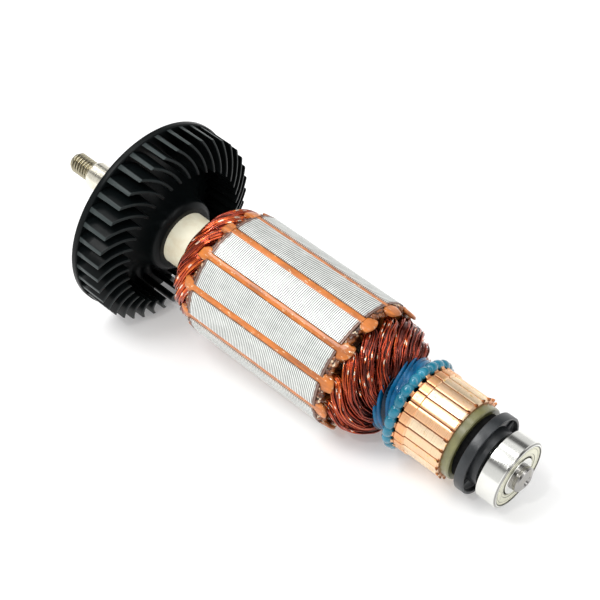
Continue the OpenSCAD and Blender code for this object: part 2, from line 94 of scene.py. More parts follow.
def length(name, description, default_mm):
    """A length property, given in millimetres and kept in metres."""
    return bpy.props.FloatProperty(
        name=name, description=description, default=default_mm * MM, min=0.0, max=200 * MM,
        unit="LENGTH", precision=4,
    )


def turn(name, description, default_deg):
    """An angle property, given in degrees and kept in radians."""
    return bpy.props.FloatProperty(
        name=name, description=description, default=math.radians(default_deg), subtype="ANGLE"
    )


def count(name, description, default):
    return bpy.props.IntProperty(
        name=name, description=description, default=default, min=1, max=200
    )


def fraction(name, description, default, lowest, highest):
    return bpy.props.FloatProperty(
        name=name, description=description, default=default, min=lowest, max=highest
    )


def colour(name, description, *rgb):
    return bpy.props.FloatVectorProperty(
        name=name, description=description, default=rgb, size=3, min=0.0, max=1.0, subtype="COLOR"
    )


class ShaftSettings(bpy.types.PropertyGroup):
    thread_r: length("Thread radius", "Outer radius of the drive thread", 3.0)
    thread_len: length("Thread length", "Length of the drive thread", 7.5)
    pitch: length("Pitch", "Pitch of the drive thread", 1.0)
    thread_depth: length("Thread depth", "Depth of the drive thread", 0.56)
    pinion_r: length("Pinion seat radius", "Radius of the pinion's seat", 4.0)
    pinion_len: length("Pinion seat length", "Length of the pinion's seat", 10.5)
    journal_r: length("Journal radius", "Radius of the drive end's bearing journal", 5.0)
    core_r: length("Core radius", "Radius under the insulation tube", 4.7)
    commutator_r: length("Commutator seat radius", "Radius under the commutator", 4.5)
    ring_seat_r: length("Ring seat radius", "Radius under the dust ring", 4.0)
    bearing_r: length("Bearing seat radius", "Radius in the ball bearing", 3.5)
    tip_r: length("Tip radius", "Radius of the flat end in the ball bearing", 1.8)
    chamfer: length("Chamfer", "Chamfer on the shaft's ends", 0.7)
    hole_r: length("Centre hole radius", "Radius of the centre holes", 0.9)


class FanSettings(bpy.types.PropertyGroup):
    blades: count("Blades", "Number of blades", 39)
    first: turn("First blade", "Angle of the first blade's tip", 5.7)
    sweep: turn("Sweep", "Angle that a blade sweeps from root to tip", 13.2)
    plate_t: length("Plate thickness", "Thickness of the back plate", 1.8)
    tip_r: length("Blade tip radius", "Radius over the blades", 28.05)
    root_r: length("Blade root radius", "Radius inside the blades", 20.1)
    tip_h: length("Tip height", "Height of a blade's tip over the plate's back", 10.0)
    root_h: length("Root height", "Height of a blade's root over the plate's back", 13.6)
    tip_t: length("Tip thickness", "Thickness of a blade at its tip", 1.1)
    root_t: length("Root thickness", "Thickness of a blade at its root", 0.75)
    collar_r: length("Collar radius", "Radius of the collar in front of the bell", 10.8)
    bell_r: length("Bell radius", "Radius of the bell's hollow flank", 10.4)
    boss_len: length("Boss length", "Length of the boss behind the plate", 1.2)
    boss_r: length("Boss radius", "Radius of the boss behind the plate", 8.5)
    bore_r: length("Bore radius", "Radius of the bore on the shaft", 5.5)
    tube_r: length("Tube radius", "Radius of the collar's bore round the tube", 7.7)
    bore_depth: length("Collar bore depth", "Depth of the collar's bore", 4.5)


class CoreSettings(bpy.types.PropertyGroup):
    slots: count("Slots", "Number of slots", 12)
    first: turn("First slot", "Angle of the first slot", 9.6)
    tooth_w: length("Tooth width", "Width of a tooth", 2.9)
    mouth_w: length("Mouth width", "Width of a slot's mouth", 2.1)
    floor_r: length("Floor radius", "Radius of the slots' floor", 9.3)
    tip_depth: length("Tip depth", "Depth of the tooth tips at the mouth", 1.05)
    sheets: count("Sheets", "Number of sheets in the stack", 81)
    groove: length("Groove", "Depth of the groove between two sheets", 0.1)
    bore_r: length("Bore radius", "Radius of the stack's bore", 6.3)
    tab_over: length("Tab swelling", "Length that varnish adds to a wedge's tabs", 0.3)
    crust: length("Crust", "Thickness of the varnish crust on the core's ends", 1.1)


class CoilSettings(bpy.types.PropertyGroup):
    outer_r: length("Outer side radius", "Radius of the outer coil sides", 14.65)
    inner_r: length("Inner side radius", "Radius of the inner coil sides", 11.05)
    bundle_h: length("Bundle height", "Height of a coil's bundle", 2.6)
    outer_w: length("Outer side width", "Width of an outer coil side", 4.0)
    inner_w: length("Inner side width", "Width of an inner coil side", 2.2)
    front_w: length("Front bundle width", "Width of the bundle at the commutator", 4.3)
    back_w: length("Back bundle width", "Width of the bundle at the fan", 3.4)
    straight: length("Straight", "Straight length of a coil past the core", 1.8)
    front_reach: length("Front reach", "Reach of the end turns at the commutator", 10.0)
    back_reach: length("Back reach", "Reach of the end turns at the fan", 7.0)
    front_lean: length("Front lean", "Inward lean at the commutator", 3.7)
    back_lean: length("Back lean", "Inward lean at the fan", 0.9)
    belly: length("Belly", "Outward bulge of the end turns near the core", 1.3)
    wires: count("Wires", "Wires that show round a bundle", 26)
    wire_r: length("Wire radius", "Radius of a wire at the commutator", 0.2)
    back_wire_r: length("Rear wire radius", "Radius of a strand at the fan", 0.34)
    fan_out: fraction("Fan out", "Share of the span by which wires spread", 0.035, 0.0, 0.2)
    pitch_slots: count("Pitch", "Slots that a coil spans", 5)


class CommutatorSettings(bpy.types.PropertyGroup):
    bars: count("Bars", "Number of bars", 24)
    first: turn("First slot", "Angle of the first slot between bars", 10.9)
    slot_w: length("Slot width", "Width of the slot between two bars", 0.34)
    track_r: length("Track radius", "Radius of the brush track", 11.4)
    riser_r: length("Riser radius", "Radius of the bars at their hooks", 11.75)
    riser_len: length("Riser length", "Length of the bars at their full radius", 2.8)
    hook_w: length("Hook width", "Width of a hook", 1.4)
    hook_len: length("Hook length", "Length of a hook past the bar", 2.3)
    hook_top: length("Hook radius", "Outer radius of a hook", 12.1)
    bead_orbit: length("Bead orbit", "Radius of the circle of resin beads", 11.75)
    bead_r: length("Bead radius", "Radius of a resin bead", 1.45)
    bead_back: length("Bead offset", "Distance from the bars back to the beads", 2.0)
    neck_r: length("Neck radius", "Radius of the resin behind the beads", 9.6)
    neck_over: length("Neck overlap", "Length of the leads over the coils", 1.9)
    neck_rise: length("Neck rise", "Rise of the leads over the coils", 1.3)
    strands: count("Strands", "Leads that show through the resin", 13)
    lead_twist: fraction("Lead twist", "Turns that the leads make round the neck", 0.52, -1.0, 1.0)


class EndSettings(bpy.types.PropertyGroup):
    rim_back: length("Rim start", "Distance from the moulding to the ring's rim", 2.4)
    rim_len: length("Rim length", "Length of the ring's rim", 2.7)
    rim_t: length("Rim thickness", "Thickness of the ring's rim", 0.75)
    neck_r: length("Neck radius", "Radius of the ring's neck", 8.8)
    hub_r: length("Hub radius", "Radius of the ring's hub", 7.9)
    floor_t: length("Floor thickness", "Thickness of the ring's floor", 1.3)
    webs: count("Webs", "Webs inside the ring", 6)
    inner_land: length("Inner land", "Radius of the bearing's inner ring", 5.15)
    outer_land: length("Outer land", "Radius of the outer ring's land", 7.85)
    shield_r: length("Shield radius", "Outer radius of the shields", 8.45)
    shield_in: length("Shield inset", "Distance from the ring's face to the shield", 0.15)
    bevel: length("Chamfer", "Chamfer on the bearing's corners", 0.45)


class FinishSettings(bpy.types.PropertyGroup):
    thread_steel: colour("Thread steel", "Steel of the drive thread", 0.44, 0.40, 0.29)
    seat_steel: colour("Seat steel", "Steel of the pinion seat", 0.86, 0.82, 0.70)
    # A painted dark reflection for the shaft's polished bearing end.
    end_painted_reflection: colour("End steel", "Steel of the shaft's bearing end", 0.36, 0.35, 0.34)
    fan_black: colour("Fan black", "Moulded plastic of the fan", 0.0030, 0.0042, 0.0045)
    ivory: colour("Ivory", "Insulating tube", 1.0, 0.96, 0.75)
    sheet_steel: colour("Sheet steel", "Edges of the stacked sheets", 0.79, 0.81, 0.78)
    varnish: colour("Varnish", "Varnish that ran over the core's ends", 0.14, 0.040, 0.014)
    wedge: colour("Wedge", "Slot wedges", 0.56, 0.165, 0.024)
    wire_dark: colour("Wire", "Enamelled wire in the end turns", 0.27, 0.034, 0.014)
    # Partly a painted highlight where the wires leave the slots.
    wire_bright: colour("Bright wire", "Wire where it leaves the slots", 0.90, 0.20, 0.035)
    resin_blue: colour("Resin blue", "Resin over the leads", 0.0, 0.105, 0.25)
    bead_blue: colour("Bead blue", "Resin beads on the hooks", 0.004, 0.18, 0.28)
    copper: colour("Copper", "Commutator bars", 0.98, 0.73, 0.50)
    olive: colour("Olive", "Moulding under the bars", 0.165, 0.16, 0.062)
    ring_grey: colour("Ring grey", "Dust ring", 0.012, 0.014, 0.016)
    bearing: colour("Bearing steel", "Polished rings of the bearing", 0.84, 0.84, 0.80)
    shield: colour("Shield", "Bearing shields", 0.74, 0.73, 0.58)


GROUPS = {
    "armature_shaft": ShaftSettings,
    "armature_fan": FanSettings,
    "armature_core": CoreSettings,
    "armature_coils": CoilSettings,
    "armature_commutator": CommutatorSettings,
    "armature_end": EndSettings,
    "armature_finish": FinishSettings,
}


# ---------------------------------------------------------------- surfaces
# A surface is its points, the four corners of each cell, and a shade for each point or None.


def smoothstep(value, start, end):
    """0 before start, 1 after end, and a smooth S between them."""
    t = np.clip((value - start) / (end - start), 0, 1)
    return t * t * (3 - 2 * t)


def softened(wave, power):
    """A sine or cosine squared off: its size raised to a power, with its sign kept."""
    return np.sign(wave) * np.abs(wave) ** power


def circle(steps):
    """Angles of one full turn."""
    return np.linspace(0, TAU, steps, endpoint=False)


def at(station, radius, angle):
    """Points at a station x along the axis, a radius r and an angle a about it:
    (x, r sin a, -r cos a)."""
    station, radius, angle = np.broadcast_arrays(station, radius, angle)
    return np.stack([station, radius * np.sin(angle), -radius * np.cos(angle)], axis=-1)


def grid(points, shade=None, closed=False):
    """The surface through rows of points. Each row is a loop; closed joins the last row to
    the first."""
    rows, columns = points.shape[:2]
    i = np.arange(rows if closed else rows - 1)[:, None]
    j = np.arange(columns)[None, :]
    i2, j2 = (i + 1) % rows, (j + 1) % columns
    corners = [i * columns + j, i * columns + j2, i2 * columns + j2, i2 * columns + j]
    quads = np.stack(np.broadcast_arrays(*corners), axis=-1).reshape(-1, 4)
    if shade is not None:
        shade = np.broadcast_to(shade, (rows, columns))
    return points, quads, shade


def capped(points):
    """Rows of points with the centre of each end row added, to close both ends."""
    columns = points.shape[1]
    first, last = (points[[k]].mean(axis=1, keepdims=True).repeat(columns, axis=1) for k in (0, -1))
    return np.concatenate([first, points, last])


def stack(surfaces):
    """Joins surfaces into one."""
    starts = np.cumsum([0] + [points.size // 3 for points, _, _ in surfaces])
    points = np.concatenate([points.reshape(-1, 3) for points, _, _ in surfaces])
    quads = np.concatenate([quads + start for (_, quads, _), start in zip(surfaces, starts)])
    shades = [shade for _, _, shade in surfaces]
    shade = None if shades[0] is None else np.concatenate([v.ravel() for v in shades])
    return points, quads, shade


def build(name, surface, material, body, replaced, sharp=False):
    """Makes an object at the origin from a surface, closes its poles and turns its faces
    outwards. The surface's shade is kept as an attribute."""
    points, quads, shade = surface
    mesh = bpy.data.meshes.new(name)
    points = np.ascontiguousarray(points.reshape(-1, 3), dtype=np.float32)
    quads = np.ascontiguousarray(quads, dtype=np.int32)
    mesh.vertices.add(len(points))
    mesh.vertices.foreach_set("co", points.ravel())
    mesh.loops.add(quads.size)
    mesh.loops.foreach_set("vertex_index", quads.ravel())
    mesh.polygons.add(len(quads))
    mesh.polygons.foreach_set("loop_start", np.arange(0, quads.size, 4, dtype=np.int32))
    mesh.update(calc_edges=True)
    if shade is not None:
        layer = mesh.attributes.new("shade", "FLOAT", "POINT")
        layer.data.foreach_set("value", np.ascontiguousarray(shade.ravel(), dtype=np.float32))
    work = bmesh.new()
    work.from_mesh(mesh)
    bmesh.ops.remove_doubles(work, verts=work.verts, dist=1e-7)
    bmesh.ops.dissolve_degenerate(work, edges=work.edges, dist=1e-8)
    bmesh.ops.recalc_face_normals(work, faces=work.faces)
    work.to_mesh(mesh)
    work.free()
    mesh.polygons.foreach_set("use_smooth", np.ones(len(mesh.polygons), dtype=bool))
    if sharp:
        mesh.set_sharp_from_angle(angle=CREASE)
    mesh.update()
    piece = bpy.data.objects.new(name, mesh)
    bpy.context.scene.collection.objects.link(piece)
    mesh.materials.append(material)
    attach(piece, body)
    if replaced:
        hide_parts(*replaced)
    return piece


def rounded(points, radius, steps=4):
    """A profile of [radius, station] points with each corner replaced by an arc that is
    tangent to both sides. radius is one number, or one for each point."""
    straight, longest = math.radians(88), 0.45
    points = np.asarray(points, float)
    radii = np.broadcast_to(radius, (len(points),))
    result = [points[0]]
    for before, corner, after, r in zip(points[:-2], points[1:-1], points[2:], radii[1:-1]):
        a, b = before - corner, after - corner
        la, lb = np.linalg.norm(a), np.linalg.norm(b)
        if r <= 0 or la < 1e-9 or lb < 1e-9:
            result.append(corner)
            continue
        a, b = a / la, b / lb
        half = math.acos(float(np.clip(np.dot(a, b), -1, 1))) / 2
        if half > straight:
            result.append(corner)
            continue
        reach = min(r / math.tan(half), longest * la, longest * lb)
        arc_r = reach * math.tan(half)
        centre = corner + (a + b) / np.linalg.norm(a + b) * arc_r / math.sin(half)
        start = corner + a * reach - centre
        end = corner + b * reach - centre
        swing = math.pi - 2 * half
        for t in np.linspace(0, 1, steps + 1):
            mixed = math.sin((1 - t) * swing) * start + math.sin(t * swing) * end
            result.append(centre + mixed / math.sin(swing))
    result.append(points[-1])
    return np.array(result)


def closed_profile(points, radius, steps=4):
    """A closed profile with rounded corners, started in the middle of its last side."""
    points = np.asarray(points, float)
    middle = (points[0] + points[-1]) / 2
    radii = np.broadcast_to(radius, (len(points),))
    ring = np.vstack([middle, points, middle])
    return rounded(ring, np.concatenate([[0], radii, [0]]), steps)[:-1]


def revolved(profile, segments, shade=None):
    """The surface of a closed profile of [radius, station] points turned about the axis."""
    return grid(at(profile[:, 1:2], profile[:, 0:1], circle(segments)[None, :]), shade, closed=True)


# ---------------------------------------------------------------- finishes


class Nodes:
    """Short ways to add nodes to a tree."""

    def __init__(self, tree):
        self.tree = tree

    def add(self, kind, inputs=None, **settings):
        """A node with its settings, and its inputs linked or given a value."""
        node = self.tree.nodes.new(kind)
        for key, value in settings.items():
            setattr(node, key, value)
        for key, value in (inputs or {}).items():
            if isinstance(value, bpy.types.NodeSocket):
                self.tree.links.new(value, node.inputs[key])
            else:
                node.inputs[key].default_value = value
        return node

    def math(self, operation, *values):
        return self.add("ShaderNodeMath", dict(enumerate(values)), operation=operation).outputs[0]

    def times(self, value, factor, start=0.0):
        """(value - start) x factor."""
        if start:
            value = self.math("SUBTRACT", value, start)
        return self.math("MULTIPLY", value, factor)

    def ramp(self, factor, *stops):
        """A colour ramp; each stop is (position, grey) or (position, (r, g, b))."""
        node = self.add("ShaderNodeValToRGB", {"Fac": factor})
        elements = node.color_ramp.elements
        while len(elements) < len(stops):
            elements.new(0.5)
        for element, (position, value) in zip(elements, stops):
            element.position = position
            rgb = (value,) * 3 if isinstance(value, (int, float)) else tuple(value)
            element.color = (*rgb, 1.0)
        return node.outputs["Color"]


class Finish(Nodes):
    """A node material under construction: a Principled shader with helpers round it."""

    def __init__(self, name, **constants):
        self.material = bpy.data.materials.new(name)
        self.material.use_nodes = True
        super().__init__(self.material.node_tree)
        self.shader = self.tree.nodes["Principled BSDF"]
        for socket, value in constants.items():
            self.shader.inputs[socket.replace("_", " ")].default_value = value
        self.where = self.add("ShaderNodeTexCoord").outputs["Object"]

    def noise(self, scale, detail=3.0, roughness=0.6, stretch=None):
        """Noise on Object coordinates, which stretch scales along each axis."""
        where = self.where
        if stretch:
            where = self.add("ShaderNodeMapping", {"Vector": where, "Scale": stretch}).outputs[0]
        values = {"Vector": where, "Scale": scale, "Detail": detail, "Roughness": roughness}
        return self.add("ShaderNodeTexNoise", values).outputs["Fac"]

    def lines(self, fine, coarse, detail=4, roughness=0.7):
        """Noise drawn out into turning lines about the axis."""
        return self.noise(1.0, detail, roughness, (fine, coarse, coarse))

    def shade(self):
        return self.add("ShaderNodeAttribute", attribute_name="shade").outputs["Fac"]

    def place(self):
        """Station along the axis and distance from it, from Object coordinates."""
        x, y, z = self.add("ShaderNodeSeparateXYZ", {"Vector": self.where}).outputs
        square = self.math("ADD", self.math("MULTIPLY", y, y), self.math("MULTIPLY", z, z))
        return x, self.math("SQRT", square)

    def mix(self, base, share, rgb):
        base, rgb = (
            value if isinstance(value, bpy.types.NodeSocket) else (*tuple(value), 1.0)
            for value in (base, rgb)
        )
        inputs = {0: share, 6: base, 7: rgb}
        return self.add("ShaderNodeMix", inputs, data_type="RGBA").outputs[2]

    def over(self, base, factor, start, end, rgb):
        """A colour laid over a base. start and end are two stops (level of the factor,
        share of the colour)."""
        return self.mix(base, self.ramp(factor, start, end), rgb)

    def tones(self, rgb, dark, light, factor, start=0.3, end=0.8):
        """A colour times dark up to one level of the factor and times light from another."""
        return self.over(scaled(rgb, dark), factor, (start, 0.0), (end, 1.0), scaled(rgb, light))

    def done(self, base, rough=None, relief=None):
        """Links the colour, the roughness, given as (factor, stop, stop), and the bump, given
        as (height, distance, strength), to the shader."""
        sockets = {"Base Color": base}
        if rough:
            sockets["Roughness"] = self.ramp(*rough)
        if relief:
            inputs = dict(zip(("Height", "Distance", "Strength"), relief))
            sockets["Normal"] = self.add("ShaderNodeBump", inputs).outputs["Normal"]
        for name, value in sockets.items():
            self.tree.links.new(value, self.shader.inputs[name])
        return self.material


def scaled(rgb, factor):
    """A colour times a factor, each part at most 1."""
    return tuple(min(1.0, part * factor) for part in rgb)


def turned_steel(name, rgb, roughness=0.22):
    """Steel turned on a lathe: fine lines round the axis, with a little soft variation."""
    m = Finish(name, Metallic=1.0)
    rings = m.lines(9000, 60)
    base = m.tones(rgb, 0.82, 1.12, m.noise(220), 0.3, 0.75)
    rough = (rings, (0.25, roughness * 0.7), (0.8, roughness * 1.5))
    return m.done(base, rough, (rings, 0.00002, 0.6))


# ---------------------------------------------------------------- pieces


SEEDS = {
    "wedge": 0, "tab": 300, "crust": 60, "coil": 100, "leads": 7, "beads": 11, "tones": 17,
    "hook": 40, "burr": 200,
}


def draws(kind, index=0):
    """Random numbers that are the same in every run, for one piece of a kind."""
    return np.random.default_rng(SEEDS[kind] + index)


def shaft_profile(s, fan, pinion_back):
    """The shaft's steps from the drive thread to the bearing, with a centre hole in both
    ends. The thread's stretch has many points, for its flanks."""
    back, front, bearing_back = SHAFT_BACK, SHAFT_FRONT, -BEARING_HALF
    journal_back = pinion_back + s.pinion_len
    collar_bore = FAN_FRONT - fan.bore_depth
    tube_front = MOULDING_BACK - 0.4 * MM
    c = s.chamfer
    hole, edge, lead_in = 4 * s.hole_r, 0.08 * MM, 0.3 * MM
    mouth_r, mouth_depth = s.hole_r + 0.5 * MM, 0.8 * MM
    start = rounded([
        [0, back + hole], [s.hole_r, back + hole - s.hole_r], [s.hole_r, back],
        [s.thread_r - c, back], [s.thread_r, back + c], [s.thread_r, back + 1.04 * c],
    ], edge)
    stations = np.arange(back + 1.05 * c, pinion_back - 0.5 * c, s.pitch / 14)
    rest = rounded([
        [s.thread_r, pinion_back - 0.4 * c], [s.thread_r, pinion_back],
        [s.pinion_r - c, pinion_back], [s.pinion_r, pinion_back + 1.5 * c],
        [s.pinion_r, journal_back], [s.journal_r - lead_in, journal_back],
        [s.journal_r, journal_back + lead_in], [s.journal_r, FAN_BACK],
        [fan.bore_r, FAN_BACK], [fan.bore_r, collar_bore],
        [s.core_r, collar_bore], [s.core_r, tube_front],
        [s.commutator_r, tube_front], [s.commutator_r, RING_BACK],
        [s.ring_seat_r, RING_BACK], [s.ring_seat_r, bearing_back],
        [s.bearing_r, bearing_back], [s.bearing_r, front - 1.6 * c],
        [s.bearing_r - 0.25 * c, front - 0.9 * c], [s.tip_r, front], [mouth_r, front],
        [s.hole_r, front - mouth_depth], [s.hole_r, front - hole + s.hole_r],
        [0, front - hole],
    ], edge)
    thread = np.column_stack([np.full(stations.shape, s.thread_r), stations])
    return np.vstack([start, thread, rest])


def threaded_radius(x, r, angle, s, pinion_back):
    """Radius with the thread cut: the depth follows a rounded triangle wave of the station
    less the pitch times the turn, faded out at both ends."""
    steep, crest = 1.25, 0.12
    phase = (x / s.pitch - angle / TAU) % 1.0
    depth = s.thread_depth * np.clip(steep * np.abs(2 * phase - 1) - crest, 0, 1)
    depth = depth * smoothstep(x, SHAFT_BACK, SHAFT_BACK + 0.9 * MM)
    depth = depth * (1 - smoothstep(x, pinion_back - 0.9 * MM, pinion_back - 0.2 * MM))
    on_thread = (r > 0.7 * s.thread_r) & (x < pinion_back)
    return np.where(on_thread, np.maximum(r - depth, 0.6 * s.thread_r), r)


def shaft_steel(f):
    """Turned steel, brown on the thread, pale on the seats, and dark at the bearing end as a
    painted dark reflection on the polished stub.
    """
    m = Finish("shaft_steel_finish", Metallic=1.0)
    place = m.shade()
    rings = m.lines(9000, 60)
    seat = m.over(f.thread_steel, place, (0.1, 0.0), (0.4, 1.0), f.seat_steel)
    # Darker at the bearing end: a painted dark reflection on the polished stub.
    steel = m.over(seat, place, (0.6, 0.0), (0.9, 1.0), f.end_painted_reflection)
    stain = scaled(f.thread_steel, 0.7)
    base = m.over(steel, m.noise(420, 4), (0.45, 0.0), (0.8, 0.5), stain)
    return m.done(base, (rings, (0.25, 0.16), (0.8, 0.34)), (rings, 0.00002, 0.5))


class AddShaft(bpy.types.Operator):
    """Adds the turned shaft with its real thread"""

    bl_idname = "armature.add_shaft"
    bl_label = "Shaft"

    def execute(self, context):
        s = context.scene.armature_shaft
        fan = context.scene.armature_fan
        pinion_back = SHAFT_BACK + s.thread_len
        profile = shaft_profile(s, fan, pinion_back)
        x, r = profile[:, 1:2], profile[:, 0:1]
        angle = circle(96)[None, :]
        points = at(x, threaded_radius(x, r, angle, s, pinion_back), angle)
        shade = smoothstep(x, pinion_back - 0.5 * MM, pinion_back + 0.5 * MM)
        shade = shade + smoothstep(x, -BEARING_HALF - 2 * MM, -BEARING_HALF)
        finish = shaft_steel(context.scene.armature_finish)
        build("turned_shaft", grid(points, shade / 2), finish, ROTOR, ("shaft",))
        return {"FINISHED"}


def fan_body(s):
    """Plate, bell and collar turned from one profile; the bell's flank is a quarter circle."""
    back, front = FAN_BACK, FAN_FRONT
    plate = back + s.boss_len
    plate_front = plate + s.plate_t
    t = np.linspace(0, math.pi / 2, 22)
    flank = np.column_stack([
        s.collar_r + s.bell_r - s.bell_r * np.sin(t),
        plate_front + s.bell_r - s.bell_r * np.cos(t),
    ])
    rim_round, collar_round = 0.3 * MM, 0.8 * MM
    rim = rounded([
        [s.boss_r, back], [s.boss_r, plate], [FAN_R, plate], [FAN_R, plate_front], flank[0]
    ], [0, rim_round, rim_round, 0.4 * MM, 0], 5)
    collar = rounded([
        flank[-1], [s.collar_r - 0.3 * MM, front - 0.9 * MM], [s.collar_r - 1.5 * MM, front],
        [s.tube_r, front], [s.tube_r, front - s.bore_depth], [s.bore_r, front - s.bore_depth],
        [s.bore_r, back], [s.boss_r, back],
    ], [0, collar_round, collar_round, 0.15 * MM, 0, 0, 0.1 * MM, 0], 4)
    profile = np.vstack([rim, flank[1:-1], collar[:-1]])
    # A painted highlight along the rim's outer edge.
    shade = 0.12 * smoothstep(profile[:, 0:1], FAN_R - 0.3 * MM, FAN_R - 0.1 * MM)
    return revolved(profile, 156, shade)


def fan_blade(s, first):
    """One blade: a loop round its thickness, carried from root to tip. The front edge is a
    half round, and both ends taper to a rounded edge. The shade is 1 on the tip's end face
    and lower along the front edge: a painted highlight where light falls on them."""
    root_end, tip_end = [0, 0.002, 0.006, 0.013], [0.98, 0.992, 0.997, 1.0]
    share = np.concatenate([root_end, np.linspace(0.06, 0.94, 12), tip_end])[:, None]
    radius = s.root_r + (s.tip_r - s.root_r) * share
    middle = first - s.sweep * (1 - share ** 1.5)
    end = np.minimum(share / 0.012, 1) * np.minimum((1 - share) / 0.008, 1)
    pinch = np.sqrt(np.clip(1 - (1 - end) ** 2, 0.02, 1))
    half = (s.root_t + (s.tip_t - s.root_t) * share) * pinch / 2
    floor = FAN_BACK + s.boss_len + 0.6 * s.plate_t
    top = FAN_BACK + s.boss_len + s.root_h + (s.tip_h - s.root_h) * share
    crown = np.linspace(0, math.pi, 9)[None, :]
    round_side = half * softened(np.cos(crown), 0.4)
    round_top = top - half * (1 - np.sin(crown) ** 0.4) * 0.8
    level = np.array([[0.0, 0.5]])
    flare = half * (1 + 0.35 * (1 - level) ** 2)
    flank = floor + (top - half - floor) * level
    side = np.hstack([flare, round_side, -flare[:, ::-1]])
    height = np.hstack([flank, round_top, flank[:, ::-1]])
    points = capped(at(height, radius, middle + side / radius))
    # A painted highlight: full on the tip's end face, lower along the front edge.
    painted_highlight = np.zeros(points.shape[:2])
    painted_highlight[1:-1] = smoothstep(share, 0.985, 0.996)
    painted_highlight[1:-1, 3:-3] = np.maximum(painted_highlight[1:-1, 3:-3], 0.34 + 0.2 * share)
    painted_highlight[-1] = 1.0
    return grid(points, painted_highlight)


def fan_black(f):
    """Black plastic with a faint grain and scuffs, and a painted highlight on the blades'
    tip faces and, less so, on their front edges and the rim's outer edge."""
    m = Finish("fan_plastic_finish", Specular_IOR_Level=0.12)
    cloud = m.noise(90, 4)
    scuff = m.noise(700, 3, 0.7, (1, 1, 4))
    base = m.tones(f.fan_black, 0.7, 1.5, cloud)
    base = m.over(base, scuff, (0.66, 0.0), (0.88, 0.12), (0.045, 0.05, 0.052))
    # A painted highlight, paler on the blades' tip faces, front edges and the rim's edge.
    painted_highlight = m.times(m.shade(), m.ramp(cloud, (0.2, 0.75), (0.7, 1.0)))
    base = m.over(base, painted_highlight, (0.3, 0.0), (0.9, 1.0), (0.045, 0.055, 0.055))
    return m.done(base, (cloud, (0.2, 0.24), (0.8, 0.38)), (m.noise(2200, 2), 0.00002, 0.4))


class AddFan(bpy.types.Operator):
    """Adds the moulded fan: a plate with a bell and swept blades"""

    bl_idname = "armature.add_fan"
    bl_label = "Fan"

    def execute(self, context):
        s = context.scene.armature_fan
        blades = [fan_blade(s, s.first + i * TAU / s.blades) for i in range(s.blades)]
        finish = fan_black(context.scene.armature_finish)
        build("moulded_fan", stack([fan_body(s)] + blades), finish, ROTOR, ("fan",))
        return {"FINISHED"}


def core_sheets(s, pitch):
    """The sheets' edge carried along the axis, with a groove at each joint that fades out
    in the slots, and the bore. Both end faces are left open."""
    angle, radius = sheet_outline(s)
    base = CORE_BACK + pitch * np.arange(s.sheets)[:, None]
    station = np.append((base + pitch * np.array([[0.0, 0.2, 0.8]])).ravel(), CORE_FRONT)
    inset = np.append(np.tile([s.groove, 0, 0], s.sheets), s.groove)
    weight = smoothstep(radius, 0.8 * CORE_R, 0.95 * CORE_R)
    rings = at(station[:, None], radius - inset[:, None] * weight, angle)
    bore = at(np.array([[CORE_FRONT], [CORE_BACK]]), s.bore_r, angle)
    points, quads, _ = grid(np.concatenate([rings, bore]), closed=True)
    across = len(angle)
    keep = np.ones(len(quads), bool)
    keep[(len(rings) - 1) * across : len(rings) * across] = False
    keep[-across:] = False
    return points, quads[keep], None


def sheet_outline(s):
    """Angle and radius of a sheet's edge: an arc over each tooth, then round the slot."""
    step = TAU / s.slots
    tip_r = CORE_R - s.tip_depth
    shoulder_r = tip_r - 0.9 * MM

    def half(r):
        """Half of a slot's angle at a radius: the teeth have parallel sides."""
        return step / 2 - np.arcsin(s.tooth_w / 2 / r)

    mouth = np.arcsin(s.mouth_w / 2 / CORE_R)
    mouth_in = np.arcsin(s.mouth_w / 2 / tip_r)
    arc = np.linspace(mouth, step - mouth, 15)
    slot_angle = np.array([-half(s.floor_r), -half(shoulder_r), -mouth_in])
    slot_r = [s.floor_r, shoulder_r, tip_r]
    angle = np.concatenate([slot_angle[::-1], [0.0], -slot_angle, arc])
    radius = np.concatenate([slot_r[::-1], [s.floor_r], slot_r, np.full(arc.shape, CORE_R)])
    turns = s.first + step * np.arange(s.slots)[:, None]
    return (turns + angle).ravel(), np.tile(radius, s.slots)


def close_core_ends(piece):
    """Fills both end faces between the sheet's edge and the bore."""
    work = bmesh.new()
    work.from_mesh(piece.data)
    for station in (CORE_BACK, CORE_FRONT):
        rim = [e for e in work.edges if e.is_boundary and abs(e.verts[0].co.x - station) < 1e-6]
        bmesh.ops.triangle_fill(work, edges=rim, use_beauty=True)
    bmesh.ops.recalc_face_normals(work, faces=work.faces)
    work.to_mesh(piece.data)
    work.free()


def sheet_steel(f, pitch):
    """Ground sheet edges, white-grey, with a dark line between sheets, brown varnish near
    the core's ends and a painted shade of darker brown inside the slots' mouths."""
    m = Finish("core_steel_finish", Metallic=0.3)
    x, r = m.place()
    wave = m.math("COSINE", m.times(x, TAU / pitch, CORE_BACK))
    faint = m.ramp(m.noise(260, 4), (0.25, 0.6), (0.6, 1.0))
    line = m.times(m.ramp(wave, (0.05, 0.0), (0.7, 1.0)), faint)
    grain = m.noise(900, 4, 0.7, (0.25, 1, 1))
    base = m.tones(f.sheet_steel, 0.86, 1.16, grain, 0.25, 0.8)
    base = m.mix(base, line, scaled(f.sheet_steel, 0.15))
    near = m.math("ABSOLUTE", m.times(x, 2 / (CORE_FRONT - CORE_BACK), CORE_MIDDLE))
    drip = m.math("ADD", near, m.times(m.noise(500, 4, 0.7), 0.06))
    base = m.over(base, drip, (0.985, 0.0), (1.02, 0.85), f.varnish)
    # A painted shade: darker brown on the sheets inside the slots, below the tooth tips.
    inside = m.times(r, 1 / CORE_R)
    base = m.over(base, inside, (0.93, 1.0), (0.985, 0.0), scaled(f.varnish, 0.6))
    return m.done(base, (grain, (0.2, 0.34), (0.8, 0.52)), (grain, 0.00004, 0.6))


